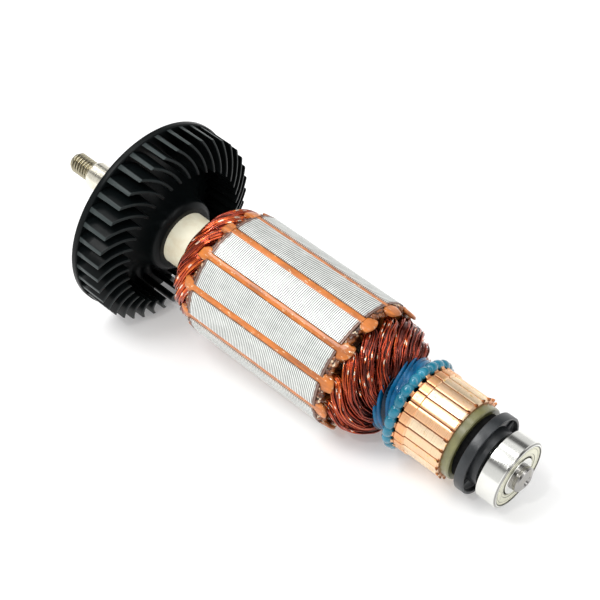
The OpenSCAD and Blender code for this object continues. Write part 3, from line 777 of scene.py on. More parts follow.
class AddCore(bpy.types.Operator):
    """Adds the stack of slotted steel sheets"""

    bl_idname = "armature.add_core"
    bl_label = "Lamination stack"

    def execute(self, context):
        s = context.scene.armature_core
        pitch = (CORE_FRONT - CORE_BACK) / s.sheets
        finish = sheet_steel(context.scene.armature_finish, pitch)
        piece = build(
            "stacked_sheets", core_sheets(s, pitch), finish, ROTOR, ("lamination_stack",),
            sharp=True,
        )
        close_core_ends(piece)
        return {"FINISHED"}


def puffed_wedge(s, angle, back, front, index):
    """A loop of points carried along the slot: a tee inside the core, blending into a
    rounded lozenge past both ends, which closes to a round nose. The shade is 1 on the
    tee's edges and lower on the lozenge's sides and nose."""
    generator = draws("wedge", index)
    tip_r = CORE_R - s.tip_depth
    mouth = s.mouth_w / 2
    foot, puff_half_w, puff_half_h, past = 2.45 * MM, 2.3 * MM, 0.62 * MM, 0.35 * MM
    top = CORE_R - 0.28 * MM
    floor = tip_r - 0.85 * MM
    half_w = [foot, foot, 1.02 * mouth, 0.98 * mouth, 0.62 * mouth, 0]
    height = [floor, floor + 0.45 * MM, tip_r, top - 0.12 * MM, top - 0.02 * MM, top]
    tee_w = np.array(half_w + [-w for w in half_w[-2::-1]] + [-0.5 * foot, 0, 0.5 * foot])
    tee_h = np.array(height + height[-2::-1] + [floor] * 3)
    turns = circle(len(tee_w)) - 0.42
    spread = 1.0 + 0.07 * generator.uniform(-1, 1)
    nose = 1 - np.cos(np.linspace(0, math.pi / 2, 9))
    station = np.concatenate([
        back + (CORE_BACK - back) * nose, [CORE_BACK + past],
        np.linspace(CORE_BACK + 2 * past, CORE_FRONT - 2 * past, 26), [CORE_FRONT - past],
        front - (front - CORE_FRONT) * nose[::-1],
    ])[:, None]
    beyond = np.maximum(CORE_BACK - station, station - CORE_FRONT)
    puff = smoothstep(beyond, -0.6 * past, 0.5 * past)
    run = np.clip(beyond / (front - CORE_FRONT), 0, 1)
    shrink = np.clip(1 - run ** 7, 0, 1) ** 0.5
    droop = -0.25 * MM * run ** 2
    rear = np.where(station < CORE_MIDDLE, 0.78, 1.0)
    lozenge_w = puff_half_w * spread * softened(np.cos(turns), 0.5) * shrink * rear
    lozenge_h = puff_half_h * softened(np.sin(turns), 0.7) * shrink
    w = tee_w * (1 - puff) + lozenge_w * puff
    r = tee_h * (1 - puff) + (tip_r + 0.2 * MM + droop + lozenge_h) * puff
    phase = generator.uniform(0, TAU)
    ripple = 0.04 * MM * np.sin(station * 700 + phase) * (w != 0)
    lean = generator.uniform(-0.25, 0.25) * MM * np.sin(station * 900 + phase) * puff
    bumps = 1 + 0.13 * puff * np.sin(3 * turns + 1900 * station + phase)
    skew = generator.uniform(-0.35, 0.35) * w * puff * run ** 0.5
    w = w * bumps + ripple + lean
    points = at(station + skew, np.hypot(r, w), angle + np.arctan2(w, r))
    # The tee's edges get a painted shade for the gap at the slot's walls; the lozenge's sides are
    # darker too.
    edge = (np.abs(tee_w) > 0.9 * mouth) * (1 - puff)
    side = np.maximum(np.abs(np.cos(turns)), run ** 3)
    return grid(points, edge + puff * np.clip(1.2 * side - 0.5, 0, 0.8))


def wedge_orange(f):
    """Orange board soaked in varnish: darker in patches and at its edges, with a wet gloss
    and small gold specks."""
    m = Finish(
        "wedge_orange_finish", Coat_Weight=0.5, Coat_Roughness=0.06, Specular_IOR_Level=0.3
    )
    cloud = m.noise(230, 4, 0.65)
    streak = m.noise(500, 3, 0.6, (0.15, 1, 1))
    speck = m.noise(1500, 2, 0.6, (0.5, 1, 1))
    base = m.tones(f.wedge, 0.82, 1.3, cloud, 0.3, 0.72)
    base = m.over(base, streak, (0.5, 0.0), (0.74, 0.85), scaled(f.varnish, 1.6))
    # Darker along the tee's edges: a painted shade for the gap at the slot's walls. On the tabs it
    # darkens their sides.
    edge = m.times(m.shade(), m.ramp(cloud, (0.3, 0.5), (0.7, 1.3)))
    base = m.over(base, edge, (0.4, 0.0), (0.9, 0.9), scaled(f.varnish, 0.9))
    base = m.over(base, speck, (0.62, 0.0), (0.7, 0.85), (0.86, 0.66, 0.42))
    return m.done(base, (streak, (0.3, 0.3), (0.8, 0.5)), (m.noise(1300), 0.00012, 0.6))


class AddWedges(bpy.types.Operator):
    """Adds the slot wedges with their puffed tabs"""

    bl_idname = "armature.add_wedges"
    bl_label = "Slot wedges"

    def execute(self, context):
        s = context.scene.armature_core
        material = wedge_orange(context.scene.armature_finish)
        for i in range(1, s.slots + 1):
            node = f"slot_wedge_{i}"
            generator = draws("tab", i)
            back, front = ends(node)
            over = s.tab_over + generator.uniform(-0.1, 0.8, 2) * MM
            back, front = back - 0.4 * over[0], front + over[1]
            surface = puffed_wedge(s, s.first + i * TAU / s.slots, back, front, i)
            build(f"puffed_wedge_{i}", surface, material, ROTOR, (node,))
        return {"FINISHED"}


def crust_ring(s, station, side):
    """A ring against the core's end whose section is an ellipse. Its size follows a sum of
    sines of both angles with random phases, and it sinks behind each wedge."""
    generator = draws("crust", side)
    angle = circle(540)[:, None]
    around = circle(18)[None, :]
    lumps = 0
    for rate, height in ((17, 0.16), (31, 0.15), (47, 0.14), (83, 0.1), (131, 0.07)):
        phase, twist = generator.uniform(0, TAU), generator.integers(1, 4)
        lumps = lumps + height * np.sin(rate * angle + twist * around + phase)
    thick = s.crust * (1 + 1.05 * lumps)
    step = TAU / s.slots
    aside = CORE_R * np.abs((angle - s.first + step / 2) % step - step / 2)
    dip = 1.3 * MM * (1 - smoothstep(aside, 1.3 * MM, 2.6 * MM))
    radius = CORE_R - 1.45 * MM + 1.02 * thick * np.cos(around)
    radius = np.minimum(radius, CORE_R - 0.12 * MM) - dip
    x = station + side * (0.15 * MM + 1.05 * thick * np.sin(around))
    return grid(at(x, radius, angle), closed=True)


def crust_varnish(f):
    """Set varnish over board and paper: dark brown, cream spots that are partly paper showing
    and partly painted glints, wet gloss.
    """
    m = Finish("crust_finish", Coat_Weight=0.5, Coat_Roughness=0.04)
    cloud = m.noise(520, 4, 0.7)
    base = m.tones(f.varnish, 0.15, 1.6, cloud, 0.38, 0.6)
    base = m.over(base, m.noise(210, 2), (0.5, 0.0), (0.6, 0.8), scaled(f.wedge, 0.55))
    # Cream spots: partly paper showing, partly painted glints on the wet lumps.
    base = m.over(base, m.noise(700, 3, 0.7), (0.57, 0.0), (0.62, 0.95), (0.80, 0.62, 0.42))
    return m.done(base, (cloud, (0.3, 0.15), (0.8, 0.4)), (m.noise(1100, 3, 0.7), 0.00016, 0.8))


class AddCrust(bpy.types.Operator):
    """Adds the lumpy varnish crust round both ends of the core"""

    bl_idname = "armature.add_crust"
    bl_label = "Varnish crust"

    def execute(self, context):
        s = context.scene.armature_core
        material = crust_varnish(context.scene.armature_finish)
        for end, station, side in (("front", CORE_FRONT, 1), ("back", CORE_BACK, -1)):
            surface = crust_ring(s, station, side)
            build(f"varnish_crust_{end}", surface, material, ROTOR, ())
        return {"FINISHED"}


def coil_bundle(s, core, turn_by, generator):
    """A dark core with wires round it. Each wire has its own place, lag and tone. The
    shade is its tone, higher near the slots, where a few points glint."""
    glint, glint_share, glint_reach = 1.8, 0.055, 0.12
    coil_lag = 0.5 * s.fan_out * (1 + generator.standard_normal())
    root = generator.uniform(0.35, 1.0)
    # The bundle's core has shade 0, the darkest tone: a painted shade where it shows between the
    # wires.
    parts = [grid(coil_tube(coil_loop(s, core, coil_lag), 0.0, None, turn_by, 8), 0.0, True)]
    for k in range(s.wires):
        phase = TAU * (k + 0.3 * generator.standard_normal()) / s.wires
        stray = 2.2 if k % 6 == 0 else 0.45
        lag = coil_lag + s.fan_out * (math.sin(phase) + stray * generator.standard_normal())
        path = coil_loop(s, core, lag)
        points = coil_tube(path, phase, generator, turn_by, 6)
        tone = np.clip(0.4 + 0.3 * generator.standard_normal(), 0.0, 0.95)
        # Near the slots the tone rises: partly the copper's own brighter colour, partly a painted
        # highlight where light hits the slot exits.
        near = path["near"] * root * generator.uniform(0.2, 1.0)
        tones = np.clip(tone * 0.62 + 0.8 * near, 0, 1)
        glints = generator.random(tones.shape) < glint_share * (path["near"] > glint_reach)
        parts.append(grid(points, np.where(glints, glint, tones), True))
    return stack(parts)


def end_turn(s, core, reach, lean, width, steps, lag):
    """Radius, angle, rise over the core, both parts of the normal, half width and nearness to
    the core along an end turn, from the outer coil side over the nose to the inner one. It
    climbs a leg, rounds a half circle and descends, while it turns by the coil's span; it
    bulges near the core and leans inwards at the nose. lag is the share of the span by which
    a wire turns later than its bundle a third of the way along."""
    middle = (s.outer_r + s.inner_r) / 2
    gap = (s.outer_r - s.inner_r) / 2
    leg = reach - gap
    total = 2 * leg + math.pi * gap
    t = np.linspace(0, 1, steps)
    q = t * total
    b = np.clip((q - leg) / gap, 0, math.pi)
    over_nose = np.where(q > leg + math.pi * gap, total - q, leg + gap * np.sin(b))
    rise = np.where(q < leg, q, over_nose)
    share = np.clip(rise / reach, 0, 1)
    shift = s.belly * np.sin(math.pi * share ** 0.85) ** 2 - lean * share ** 1.5
    radius = middle + gap * np.cos(b) + shift
    bend = 0.08
    ramp = 2 * bend * (1 - bend)
    steady = (t - bend / 2) / (1 - bend)
    turned = np.where(t > 1 - bend, 1 - (1 - t) ** 2 / ramp, steady)
    turned = np.where(t < bend, t * t / ramp, turned)
    turned = turned - lag * np.sin(math.pi * t) ** 2 * np.cos(0.5 * math.pi * t)
    angle = turned * s.pitch_slots * TAU / core.slots
    widths = [s.outer_w / 2, width / 2, width / 2, s.inner_w / 2]
    half = np.interp(t, [0, 0.2, 0.8, 1], widths)
    near = np.exp(-rise / (3.4 * MM))
    return radius, angle, rise, np.cos(b), np.sin(b), half, near


def coil_loop(s, core, lag):
    """Rings of the whole closed coil: the end turn at the commutator, then the one at the
    fan run backwards, so the rings between them are the coil's straight sides."""
    front = end_turn(s, core, s.front_reach, s.front_lean, s.front_w, 42, lag)
    back = end_turn(s, core, s.back_reach, s.back_lean, s.back_w, 34, lag)
    back = [v[::-1] for v in back]
    radius, angle, _, cos_b, _, half, near = map(np.concatenate, zip(front, back))
    station = np.concatenate([
        CORE_FRONT + s.straight + front[2], CORE_BACK - s.straight - back[2]
    ])
    along = np.concatenate([front[4], -back[4]])
    cos, sin = np.cos(angle), np.sin(angle)
    centre = np.stack([radius * cos, radius * sin, station], axis=-1)
    normal = np.stack([cos * cos_b, sin * cos_b, along], axis=-1)
    travel = np.roll(centre, -1, axis=0) - np.roll(centre, 1, axis=0)
    nose = len(front[0])
    travel[[0, -1]] = [0, 0, 1]
    travel[[nose - 1, nose]] = [0, 0, -1]
    travel /= np.linalg.norm(travel, axis=1, keepdims=True)
    normal -= (normal * travel).sum(axis=1, keepdims=True) * travel
    normal /= np.linalg.norm(normal, axis=1, keepdims=True)
    steps = np.linalg.norm(np.diff(centre, axis=0), axis=1)
    return {
        "centre": centre[:, None, :],
        "normal": normal[:, None, :],
        "side": np.cross(travel, normal)[:, None, :],
        "half": half[:, None],
        "near": near[:, None],
        "run": np.concatenate([[0], np.cumsum(steps)])[:, None],
        "wire": np.where(station > CORE_MIDDLE, s.wire_r, s.back_wire_r)[:, None],
        "height": s.bundle_h / 2,
    }


def coil_tube(path, phase, generator, turn_by, sides):
    """A round tube along the coil's path. Without a generator it is the bundle's core;
    with one it is a wire that keeps its place on the bundle's skin and wanders a little."""
    wire = path["wire"]
    height, half = path["height"] - wire, path["half"] - wire
    cos, sin = np.cos(circle(sides)), np.sin(circle(sides))
    if generator is None:
        fill = 0.78
        along_n, along_w = fill * height * cos, fill * half * sin
    else:
        waves = sum(
            amount * np.sin(path["run"] * rate + generator.uniform(0, TAU))
            for amount, rate in ((0.20, 260), (0.12, 610), (0.06, 1400))
        )
        place = phase + waves * (0.35 + 0.65 * (1 - path["near"]))
        depth = 1 - 0.12 * generator.random()
        along_n = depth * height * softened(np.cos(place), 0.6) + wire * cos
        along_w = depth * half * np.sin(place) + wire * sin
    p = path["centre"] + along_n[..., None] * path["normal"] + along_w[..., None] * path["side"]
    cos, sin = math.cos(turn_by), math.sin(turn_by)
    x = p[..., 0] * cos - p[..., 1] * sin
    y = p[..., 0] * sin + p[..., 1] * cos
    return np.stack([p[..., 2], y, -x], axis=-1)


def wire_enamel(f):
    """Enamelled copper under thin varnish: deep red-brown, bright orange where the wire leaves its
    slot, partly the copper's own colour and partly a painted highlight, and a little brighter on
    the fan's side. Each wire has its own tone, and a shade over 1 is a painted glint of wet
    varnish."""
    m = Finish("coil_enamel_finish", Metallic=0.8, Coat_Weight=0.35, Coat_Roughness=0.03)
    shade = m.shade()
    x, _ = m.place()
    patch = m.noise(330)
    rear = m.ramp(m.times(x, -10.0), (0.6, 0.0), (0.8, 0.04))
    broad = m.times(m.noise(95, 2), 0.9, 0.5)
    fine = m.times(patch, 0.5, 0.5)
    tone = m.math("ADD", m.math("ADD", shade, rear), m.math("ADD", broad, fine))
    base = m.ramp(
        tone, (0.06, scaled(f.wire_dark, 0.3)), (0.3, f.wire_dark),
        (0.55, (0.46, 0.055, 0.014)), (0.95, f.wire_bright),
    )
    base = m.over(base, m.times(shade, 0.5), (0.58, 0.0), (0.72, 0.9), (1.0, 0.82, 0.66))
    return m.done(base, (patch, (0.3, 0.14), (0.8, 0.26)), (m.noise(1500, 2), 0.00005, 0.4))


class AddCoils(bpy.types.Operator):
    """Adds the lap coils as bundles of enamelled wire"""

    bl_idname = "armature.add_coils"
    bl_label = "Coils"

    def execute(self, context):
        s = context.scene.armature_coils
        core = context.scene.armature_core
        material = wire_enamel(context.scene.armature_finish)
        for i in range(1, core.slots + 1):
            turn_by = core.first + i * TAU / core.slots
            bundle = coil_bundle(s, core, turn_by, draws("coil", i))
            build(f"wire_coil_{i}", bundle, material, ROTOR, (f"coil_{i}",))
        return {"FINISHED"}


def resin_neck(s):
    """Leads under resin: a turned neck whose radius ripples along slanted lines, one ripple
    for each lead. Each lead rises over the coils and ends at a station of its own. The
    shade follows the ripple and the lead's own tone."""
    generator = draws("leads")
    back = ends("lead_resin")[0] - s.neck_over
    bead = BARS_BACK - s.bead_back
    run = np.linspace(0, 1, 44)[:, None]
    station = back + (bead + 0.6 * MM - back) * run
    plain = s.neck_r + (s.bead_orbit - 0.5 * MM - s.neck_r) * smoothstep(run, 0.6, 1.0)
    plain = plain + s.neck_rise * (1 - smoothstep(run, 0.05, 0.55))
    angle = circle(600)[None, :]
    lead = s.strands * (angle / TAU - s.lead_twist * run + 0.012 * np.sin(5 * angle + 3))
    number = np.floor(lead).astype(int) % s.strands
    own = generator.uniform(0.35, 1.0, s.strands)[number]
    across = 2 * (lead % 1.0) - 1
    starts = generator.uniform(0.0, 0.16, s.strands)[number] + 0.2 * across ** 2
    tone = generator.uniform(0.0, 1.0, s.strands)[number]
    ridge = own * np.sqrt(np.clip(1 - across ** 2, 0, 1))
    dip = 1 - smoothstep(run, starts - 0.08, starts + 0.08)
    radius = plain + 0.38 * MM * ridge * (1 - 0.5 * smoothstep(run, 0.8, 1.0)) - 2.0 * MM * dip
    front = bead + 0.9 * MM
    lid_r, inner = s.bead_orbit - 1.2 * MM, 5.2 * MM
    lid = at(front, np.array([[lid_r], [inner]]), angle)
    points = np.concatenate([at(back, inner, angle), at(station, radius, angle), lid])
    shade = np.zeros(points.shape[:2])
    # The ripple part of the shade is painted light: paler on the crests, darker between leads.
    shade[1:-2] = 0.1 + 0.35 * ridge + 0.55 * tone
    return grid(points, shade, closed=True)


def resin_beads(s):
    """A ring of beads that run into each other: a tube whose thickness swells at each hook,
    with uneven size."""
    generator = draws("beads")
    size = 1 + 0.07 * generator.standard_normal(s.bars)
    angle = circle(s.bars * 18)[:, None]
    place = s.bars * (angle - s.first) / TAU
    own = size[np.floor(place).astype(int) % s.bars]
    swell = np.clip(1 - (2 * (place % 1.0) - 1) ** 2, 0, 1) ** 0.5
    thick = s.bead_r * (0.58 + 0.44 * swell * own)
    around = circle(22)[None, :]
    drift = 0.12 * MM * np.sin(3 * angle + 1) + 0.08 * MM * np.sin(11 * angle)
    station = BARS_BACK - s.bead_back + drift + thick * np.sin(around)
    radius = s.bead_orbit - 0.1 * MM + 0.96 * thick * np.cos(around)
    return grid(at(station, radius, angle), closed=True)


def blue_resin(name, rgb, coat, folds):
    """Tinted resin with a hard gloss. With folds, each lead keeps its own tone, its crest gets a
    painted highlight and the folds between leads a painted shade.
    """
    m = Finish(name, Coat_Weight=coat, Coat_Roughness=0.04, Specular_IOR_Level=0.2)
    cloud = m.noise(300, 4)
    base = m.tones(rgb, 0.6, 1.3, cloud, 0.3, 0.75)
    if folds:
        # Painted shade in the folds between leads and a painted highlight on their crests.
        fold = m.math("SUBTRACT", m.shade(), m.times(m.noise(420), 0.3))
        base = m.over(base, fold, (0.1, 0.95), (0.34, 0.0), scaled(rgb, 0.07))
        base = m.over(base, fold, (0.5, 0.0), (0.85, 0.6), (0.002, 0.29, 0.47))
    return m.done(base, (cloud, (0.3, 0.14), (0.8, 0.3)), (m.noise(900, 2), 0.00008, 0.4))


class AddLeadResin(bpy.types.Operator):
    """Adds the resin over the leads and the beads on the hooks"""

    bl_idname = "armature.add_lead_resin"
    bl_label = "Lead resin and beads"

    def execute(self, context):
        s = context.scene.armature_commutator
        f = context.scene.armature_finish
        blue = blue_resin("blue_resin_finish", f.resin_blue, 0.22, folds=True)
        build("resin_neck", resin_neck(s), blue, ROTOR, ("lead_resin",))
        bead = blue_resin("bead_resin_finish", f.bead_blue, 1.0, folds=False)
        build("resin_beads", resin_beads(s), bead, ROTOR, ("hook_resin_beads",))
        return {"FINISHED"}


def copper_bar(s, angle, index, tone):
    """One bar: a rounded loop across it, carried along the axis from the tip of its hook
    over the riser and the brush track to the front end. Each row holds a station, an inner
    and an outer radius and a share of the width."""
    generator = draws("hook", index)
    full = TAU / s.bars / 2 - s.slot_w / 2 / s.track_r
    hook = s.hook_w / 2 / s.hook_top
    tongue, soft, edge = 0.6 * MM, 0.12 * MM, 0.35 * MM
    uneven = 0.1 * MM * generator.standard_normal()
    floor = s.track_r - 1.5 * MM
    back, front = BARS_BACK, BARS_FRONT
    tip, riser_end = back - s.hook_len, back + s.riser_len
    under, top = s.hook_top - tongue, s.hook_top
    hook_rows = np.array([
        [tip, top - tongue / 2, top - tongue / 2, 0.05],
        [tip, under, top - soft, 0.9],
        [tip + soft, under, top, 1.0],
        [back - 0.75 * MM + uneven, under, top, 1.0],
        [back - 0.28 * MM + uneven, under - tongue, top - edge, 1.0],
        [back - 0.05 * MM, s.riser_r - tongue, s.riser_r + 0.1 * MM, 1.0],
    ])
    body_rows = np.array([
        [back, floor, s.riser_r - 0.15 * MM, 1.0],
        [back + soft, floor, s.riser_r, 1.0],
        [riser_end - soft, floor, s.riser_r, 1.0],
        [riser_end, floor, s.track_r + soft, 1.0],
        [riser_end + 0.1 * MM, floor, s.track_r, 1.0],
        [(back + front) / 2, floor, s.track_r, 1.0],
        [front - edge, floor, s.track_r, 1.0],
        [front, floor, s.track_r - edge, 1.0],
        [front, floor + 0.2 * MM, floor + 0.3 * MM, 0.05],
    ])
    hook_rows[:, 3] *= hook
    body_rows[:, 3] *= full
    station, inner_r, outer_r, half = np.vstack([hook_rows, body_rows]).T[..., None]
    across = np.array([-1, -1, -0.97, -0.86, -0.5, 0, 0.5, 0.86, 0.97, 1, 1, 0.5, -0.5])
    rise = np.array([0, 0.86, 0.97, 1, 1, 1, 1, 1, 0.97, 0.86, 0, 0, 0])
    radius = inner_r + (outer_r - inner_r) * rise
    return grid(at(station, radius, angle + across * half), tone)


def torn_edge(s, angle, side, seed):
    """A thin fin of torn copper beside a slot's front end, which rises above the bar and
    tapers to a point backwards. Its shade is 3."""
    generator = draws("burr", seed)
    tall = generator.uniform(0.15, 0.55) * MM
    run = np.array([[0.0], [0.3], [0.75], [1.0]])
    root, half_t = 0.3 * MM, 0.06 * MM
    station = BARS_FRONT + 0.1 * MM - (1 - run) * generator.uniform(0.7, 1.3) * MM
    height = tall * np.array([[0.05], [0.5], [1.0], [0.8]])
    across = np.array([-1, 1, 1, -1]) * half_t + side * (s.slot_w / 2 + 0.05 * MM)
    radius = s.track_r - root + np.array([0, 0, 1, 1]) * (height + root)
    return grid(capped(at(station, radius, angle + across / s.track_r)), 3.0)


def turned_copper(f, track_r):
    """Turned copper: pale gold with fine lines round the track, redder at the risers and on
    some bars, gold specks of dust, torn edges in brown and, as a painted shade, a brown tone
    down the bars' sides in the slots."""
    m = Finish("copper_finish", Metallic=0.85)
    x, r = m.place()
    shade = m.shade()
    rings = m.lines(7000, 90, roughness=0.75)
    cloud = m.noise(260, 4, 0.65)
    base = m.tones(f.copper, 0.84, 1.1, cloud, 0.3, 0.75)
    redder = m.math("ADD", shade, m.times(cloud, 0.3))
    base = m.over(base, redder, (0.45, 0.0), (1.0, 0.85), (0.93, 0.52, 0.28))
    along = m.times(x, 1 / (BARS_FRONT - BARS_BACK), BARS_BACK)
    riser = m.math("ADD", along, m.times(cloud, 0.06))
    base = m.over(base, riser, (0.2, 0.85), (0.26, 0.0), (0.80, 0.40, 0.19))
    spots = m.noise(1500, 3, 0.7, (0.35, 1, 1))
    base = m.over(base, spots, (0.6, 0.0), (0.67, 0.85), (0.78, 0.47, 0.08))
    base = m.over(base, m.times(shade, 0.3), (0.5, 0.0), (0.85, 0.9), (0.30, 0.10, 0.03))
    # A painted shade: brown deeper down the bars' sides, in the slots.
    deep = m.times(r, 1 / track_r)
    base = m.over(base, deep, (0.93, 1.0), (0.982, 0.0), (0.60, 0.20, 0.07))
    return m.done(base, (rings, (0.25, 0.22), (0.8, 0.42)), (rings, 0.00003, 0.6))


class AddCommutator(bpy.types.Operator):
    """Adds the commutator bars with their hooks"""

    bl_idname = "armature.add_commutator"
    bl_label = "Commutator bars"

    def execute(self, context):
        s = context.scene.armature_commutator
        parts = []
        generator = draws("tones")
        for i in range(s.bars):
            slot, middle = (s.first + (i + k) * TAU / s.bars for k in (0, 0.5))
            parts.append(copper_bar(s, middle, i, generator.uniform(0, 1)))
            parts.extend(torn_edge(s, slot, side, 2 * i + side) for side in (-1, 1))
        finish = turned_copper(context.scene.armature_finish, s.track_r)
        build(
            "copper_bars", stack(parts), finish, ROTOR, ("commutator_bars",), sharp=True
        )
        return {"FINISHED"}


def ring_web(s, angle, floor):
    """A low rounded rib from the hub to the rim, on the ring's floor."""
    radius = np.linspace(s.hub_r - 0.4 * MM, RING_R - 0.4 * MM, 8)[:, None]
    turns = circle(14)[None, :]
    side = 0.42 * MM * np.cos(turns)
    height = floor + 0.1 * MM + 0.5 * MM * softened(np.sin(turns), 0.6)
    return grid(capped(at(height, radius, angle + side / radius)))


def neck_painted_shade():
    """A painted shade: a dull black sleeve over the ring's neck, faintly mottled, for the dark gap
    between the moulding and the rim.
    """
    m = Finish("ring_neck_painted_shade_finish", Specular_IOR_Level=0.08, Roughness=0.85)
    dust = m.noise(1100, 3, 0.7)
    return m.done(m.ramp(dust, (0.4, 0.003), (0.9, 0.012)), relief=(dust, 0.00004, 0.5))


def ring_plastic(f):
    """Dark rubber-like plastic with a soft sheen and dust in its grain."""
    m = Finish("ring_plastic_finish", Specular_IOR_Level=0.55)
    cloud = m.noise(300, 4)
    base = m.tones(f.ring_grey, 1.0, 2.2, cloud)
    dust = m.noise(1100, 3, 0.7)
    base = m.over(base, dust, (0.62, 0.0), (0.85, 0.15), (0.08, 0.08, 0.08))
    return m.done(base, (cloud, (0.2, 0.26), (0.8, 0.42)), (m.noise(1800, 2), 0.00003, 0.5))


class AddDustRing(bpy.types.Operator):
    """Adds the dust ring between the commutator and the bearing"""

    bl_idname = "armature.add_dust_ring"
    bl_label = "Dust ring"

    def execute(self, context):
        s = context.scene.armature_end
        seat = context.scene.armature_shaft.ring_seat_r
        f = context.scene.armature_finish
        rim_back = RING_BACK + s.rim_back
        rim_front = rim_back + s.rim_len
        floor = rim_back + s.floor_t
        hub_front = -BEARING_HALF - 0.9 * MM
        inner = s.inner_land - 0.2 * MM
        ring = closed_profile([
            [seat, RING_BACK], [s.neck_r, RING_BACK], [s.neck_r, rim_back],
            [RING_R, rim_back], [RING_R, rim_front], [RING_R - s.rim_t, rim_front],
            [RING_R - s.rim_t, floor], [s.hub_r, floor], [s.hub_r - 0.3 * MM, hub_front],
            [inner, hub_front], [inner, RING_FRONT], [seat, RING_FRONT],
        ], 0.22 * MM)
        webs = [ring_web(s, i * TAU / s.webs, floor) for i in range(s.webs)]
        surface = stack([revolved(ring, 144)] + webs)
        build("moulded_dust_ring", surface, ring_plastic(f), ROTOR, ("dust_ring",))
        # A dull black sleeve over the neck: a painted shade for the dark gap behind the rim.
        inside_r, outside_r = s.neck_r - 0.2 * MM, s.neck_r + 0.05 * MM
        back, front = RING_BACK + 0.02 * MM, rim_back + 0.1 * MM
        sleeve = closed_profile([
            [inside_r, back], [outside_r, back], [outside_r, front], [inside_r, front],
        ], 0.02 * MM, 2)
        build("dust_ring_shade_sleeve", revolved(sleeve, 120), neck_painted_shade(), ROTOR, ())
        return {"FINISHED"}


def raceways(s):
    """Arcs of both raceways, outer and inner: a circle a little larger than the balls."""
    orbit = (s.inner_land + s.outer_land) / 2
    radius = 1.79 * MM
    reach = math.acos((s.outer_land - orbit) / radius)
    t = np.linspace(-reach, reach, 14)
    depth, along = radius * np.cos(t), radius * np.sin(t)
    return np.column_stack([orbit + depth, -along]), np.column_stack([orbit - depth, along])


def pressed_shield(s, side):
    """A pressed disc: flat outside, stepped inwards near its inner edge, with a turned rim."""
    face = BEARING_HALF - s.shield_in
    t, dent = 0.3 * MM, 0.12 * MM
    inside, sunk = face - t, face - dent
    bore = s.inner_land + 0.35 * MM
    step = bore + 0.75 * MM
    rim = s.shield_r
    profile = closed_profile([
        [bore, inside - dent], [step, inside - dent], [step + dent, inside],
        [rim - t, inside], [rim - t, face - 0.6 * MM], [rim, face - 0.6 * MM],
        [rim, face - 0.1 * MM], [rim - 0.1 * MM, face], [rim - 0.5 * MM, face],
        [rim - 0.62 * MM, sunk], [rim - 0.85 * MM, sunk],
        [rim - 0.97 * MM, face], [step + dent, face], [step, sunk], [bore, sunk],
    ], 0.05 * MM, 3)
    profile[:, 1] *= side
    return profile


def polished_steel(f):
    """Polished steel with fine ground lines round it, and two painted shade lines on its faces: a
    dark seam in the gap at the shield's edge and a grey line where the chamfer starts. Their radii
    and widths are in millimetres."""
    m = Finish("bearing_steel_finish", Metallic=1.0)
    rings = m.lines(8000, 40)
    base = m.tones(f.bearing, 0.9, 1.0, m.noise(180))
    _, r = m.place()
    # Painted shade: a dark line in the gap at the shield's edge, a grey line where the chamfer
    # starts.
    for centre_r, start, end, rgb in (
        (8.5, (0.1, 1.0), (0.2, 0.0), (0.06, 0.058, 0.05)),
        (9.15, (0.12, 0.75), (0.24, 0.0), (0.16, 0.155, 0.145)),
    ):
        aside = m.math("ABSOLUTE", m.math("SUBTRACT", m.times(r, 1 / MM), centre_r))
        base = m.over(base, aside, start, end, rgb)
    return m.done(base, (rings, (0.25, 0.1), (0.8, 0.24)), (rings, 0.00001, 0.5))


def shield_cream(f):
    """Plated shield: a pale yellow-grey sheen with faint rings, at radii in millimetres."""
    m = Finish("shield_finish", Metallic=0.7)
    patch = m.noise(240)
    base = m.tones(f.shield, 0.88, 1.1, patch)
    _, r = m.place()
    for ring_r in (5.62, 6.3, 7.72):
        aside = m.math("ABSOLUTE", m.math("SUBTRACT", m.times(r, 1 / MM), ring_r))
        base = m.over(base, aside, (0.03, 0.8), (0.1, 0.0), scaled(f.shield, 0.16))
    return m.done(base, (patch, (0.25, 0.24), (0.8, 0.4)), (m.noise(1200), 0.00003, 0.5))


class AddBearing(bpy.types.Operator):
    """Adds the ball bearing's rings and shields"""

    bl_idname = "armature.add_bearing"
    bl_label = "Ball bearing"

    def execute(self, context):
        s = context.scene.armature_end
        bore = context.scene.armature_shaft.bearing_r
        f = context.scene.armature_finish
        half, ledge = BEARING_HALF, BEARING_HALF - 0.75 * MM
        outer_groove, inner_groove = raceways(s)
        outer_ring = closed_profile([
            [s.outer_land, -ledge], [s.shield_r, -ledge],
            [s.shield_r, -half], [BEARING_R - s.bevel, -half], [BEARING_R, s.bevel - half],
            [BEARING_R, half - s.bevel], [BEARING_R - s.bevel, half], [s.shield_r, half],
            [s.shield_r, ledge], [s.outer_land, ledge],
        ], 0.07 * MM)
        inner_ring = closed_profile([
            [s.inner_land, half], [bore, half], [bore, -half], [s.inner_land, -half],
        ], 0.16 * MM)
        steel = polished_steel(f)
        for name, ring, groove, steps, body in (
            ("outer", outer_ring, outer_groove, 192, BEARING),
            ("inner", inner_ring, inner_groove, 144, ROTOR),
        ):
            surface = revolved(np.vstack([ring[1:], groove]), steps)
            build(
                f"polished_{name}_ring", surface, steel, body, (f"bearing_{name}_ring",),
                sharp=True,
            )
        cream = shield_cream(f)
        for name, side in (("front", 1), ("back", -1)):
            surface = revolved(pressed_shield(s, side), 192)
            node = f"bearing_shield_{name}"
            build(f"pressed_shield_{name}", surface, cream, BEARING, (node,))
        return {"FINISHED"}


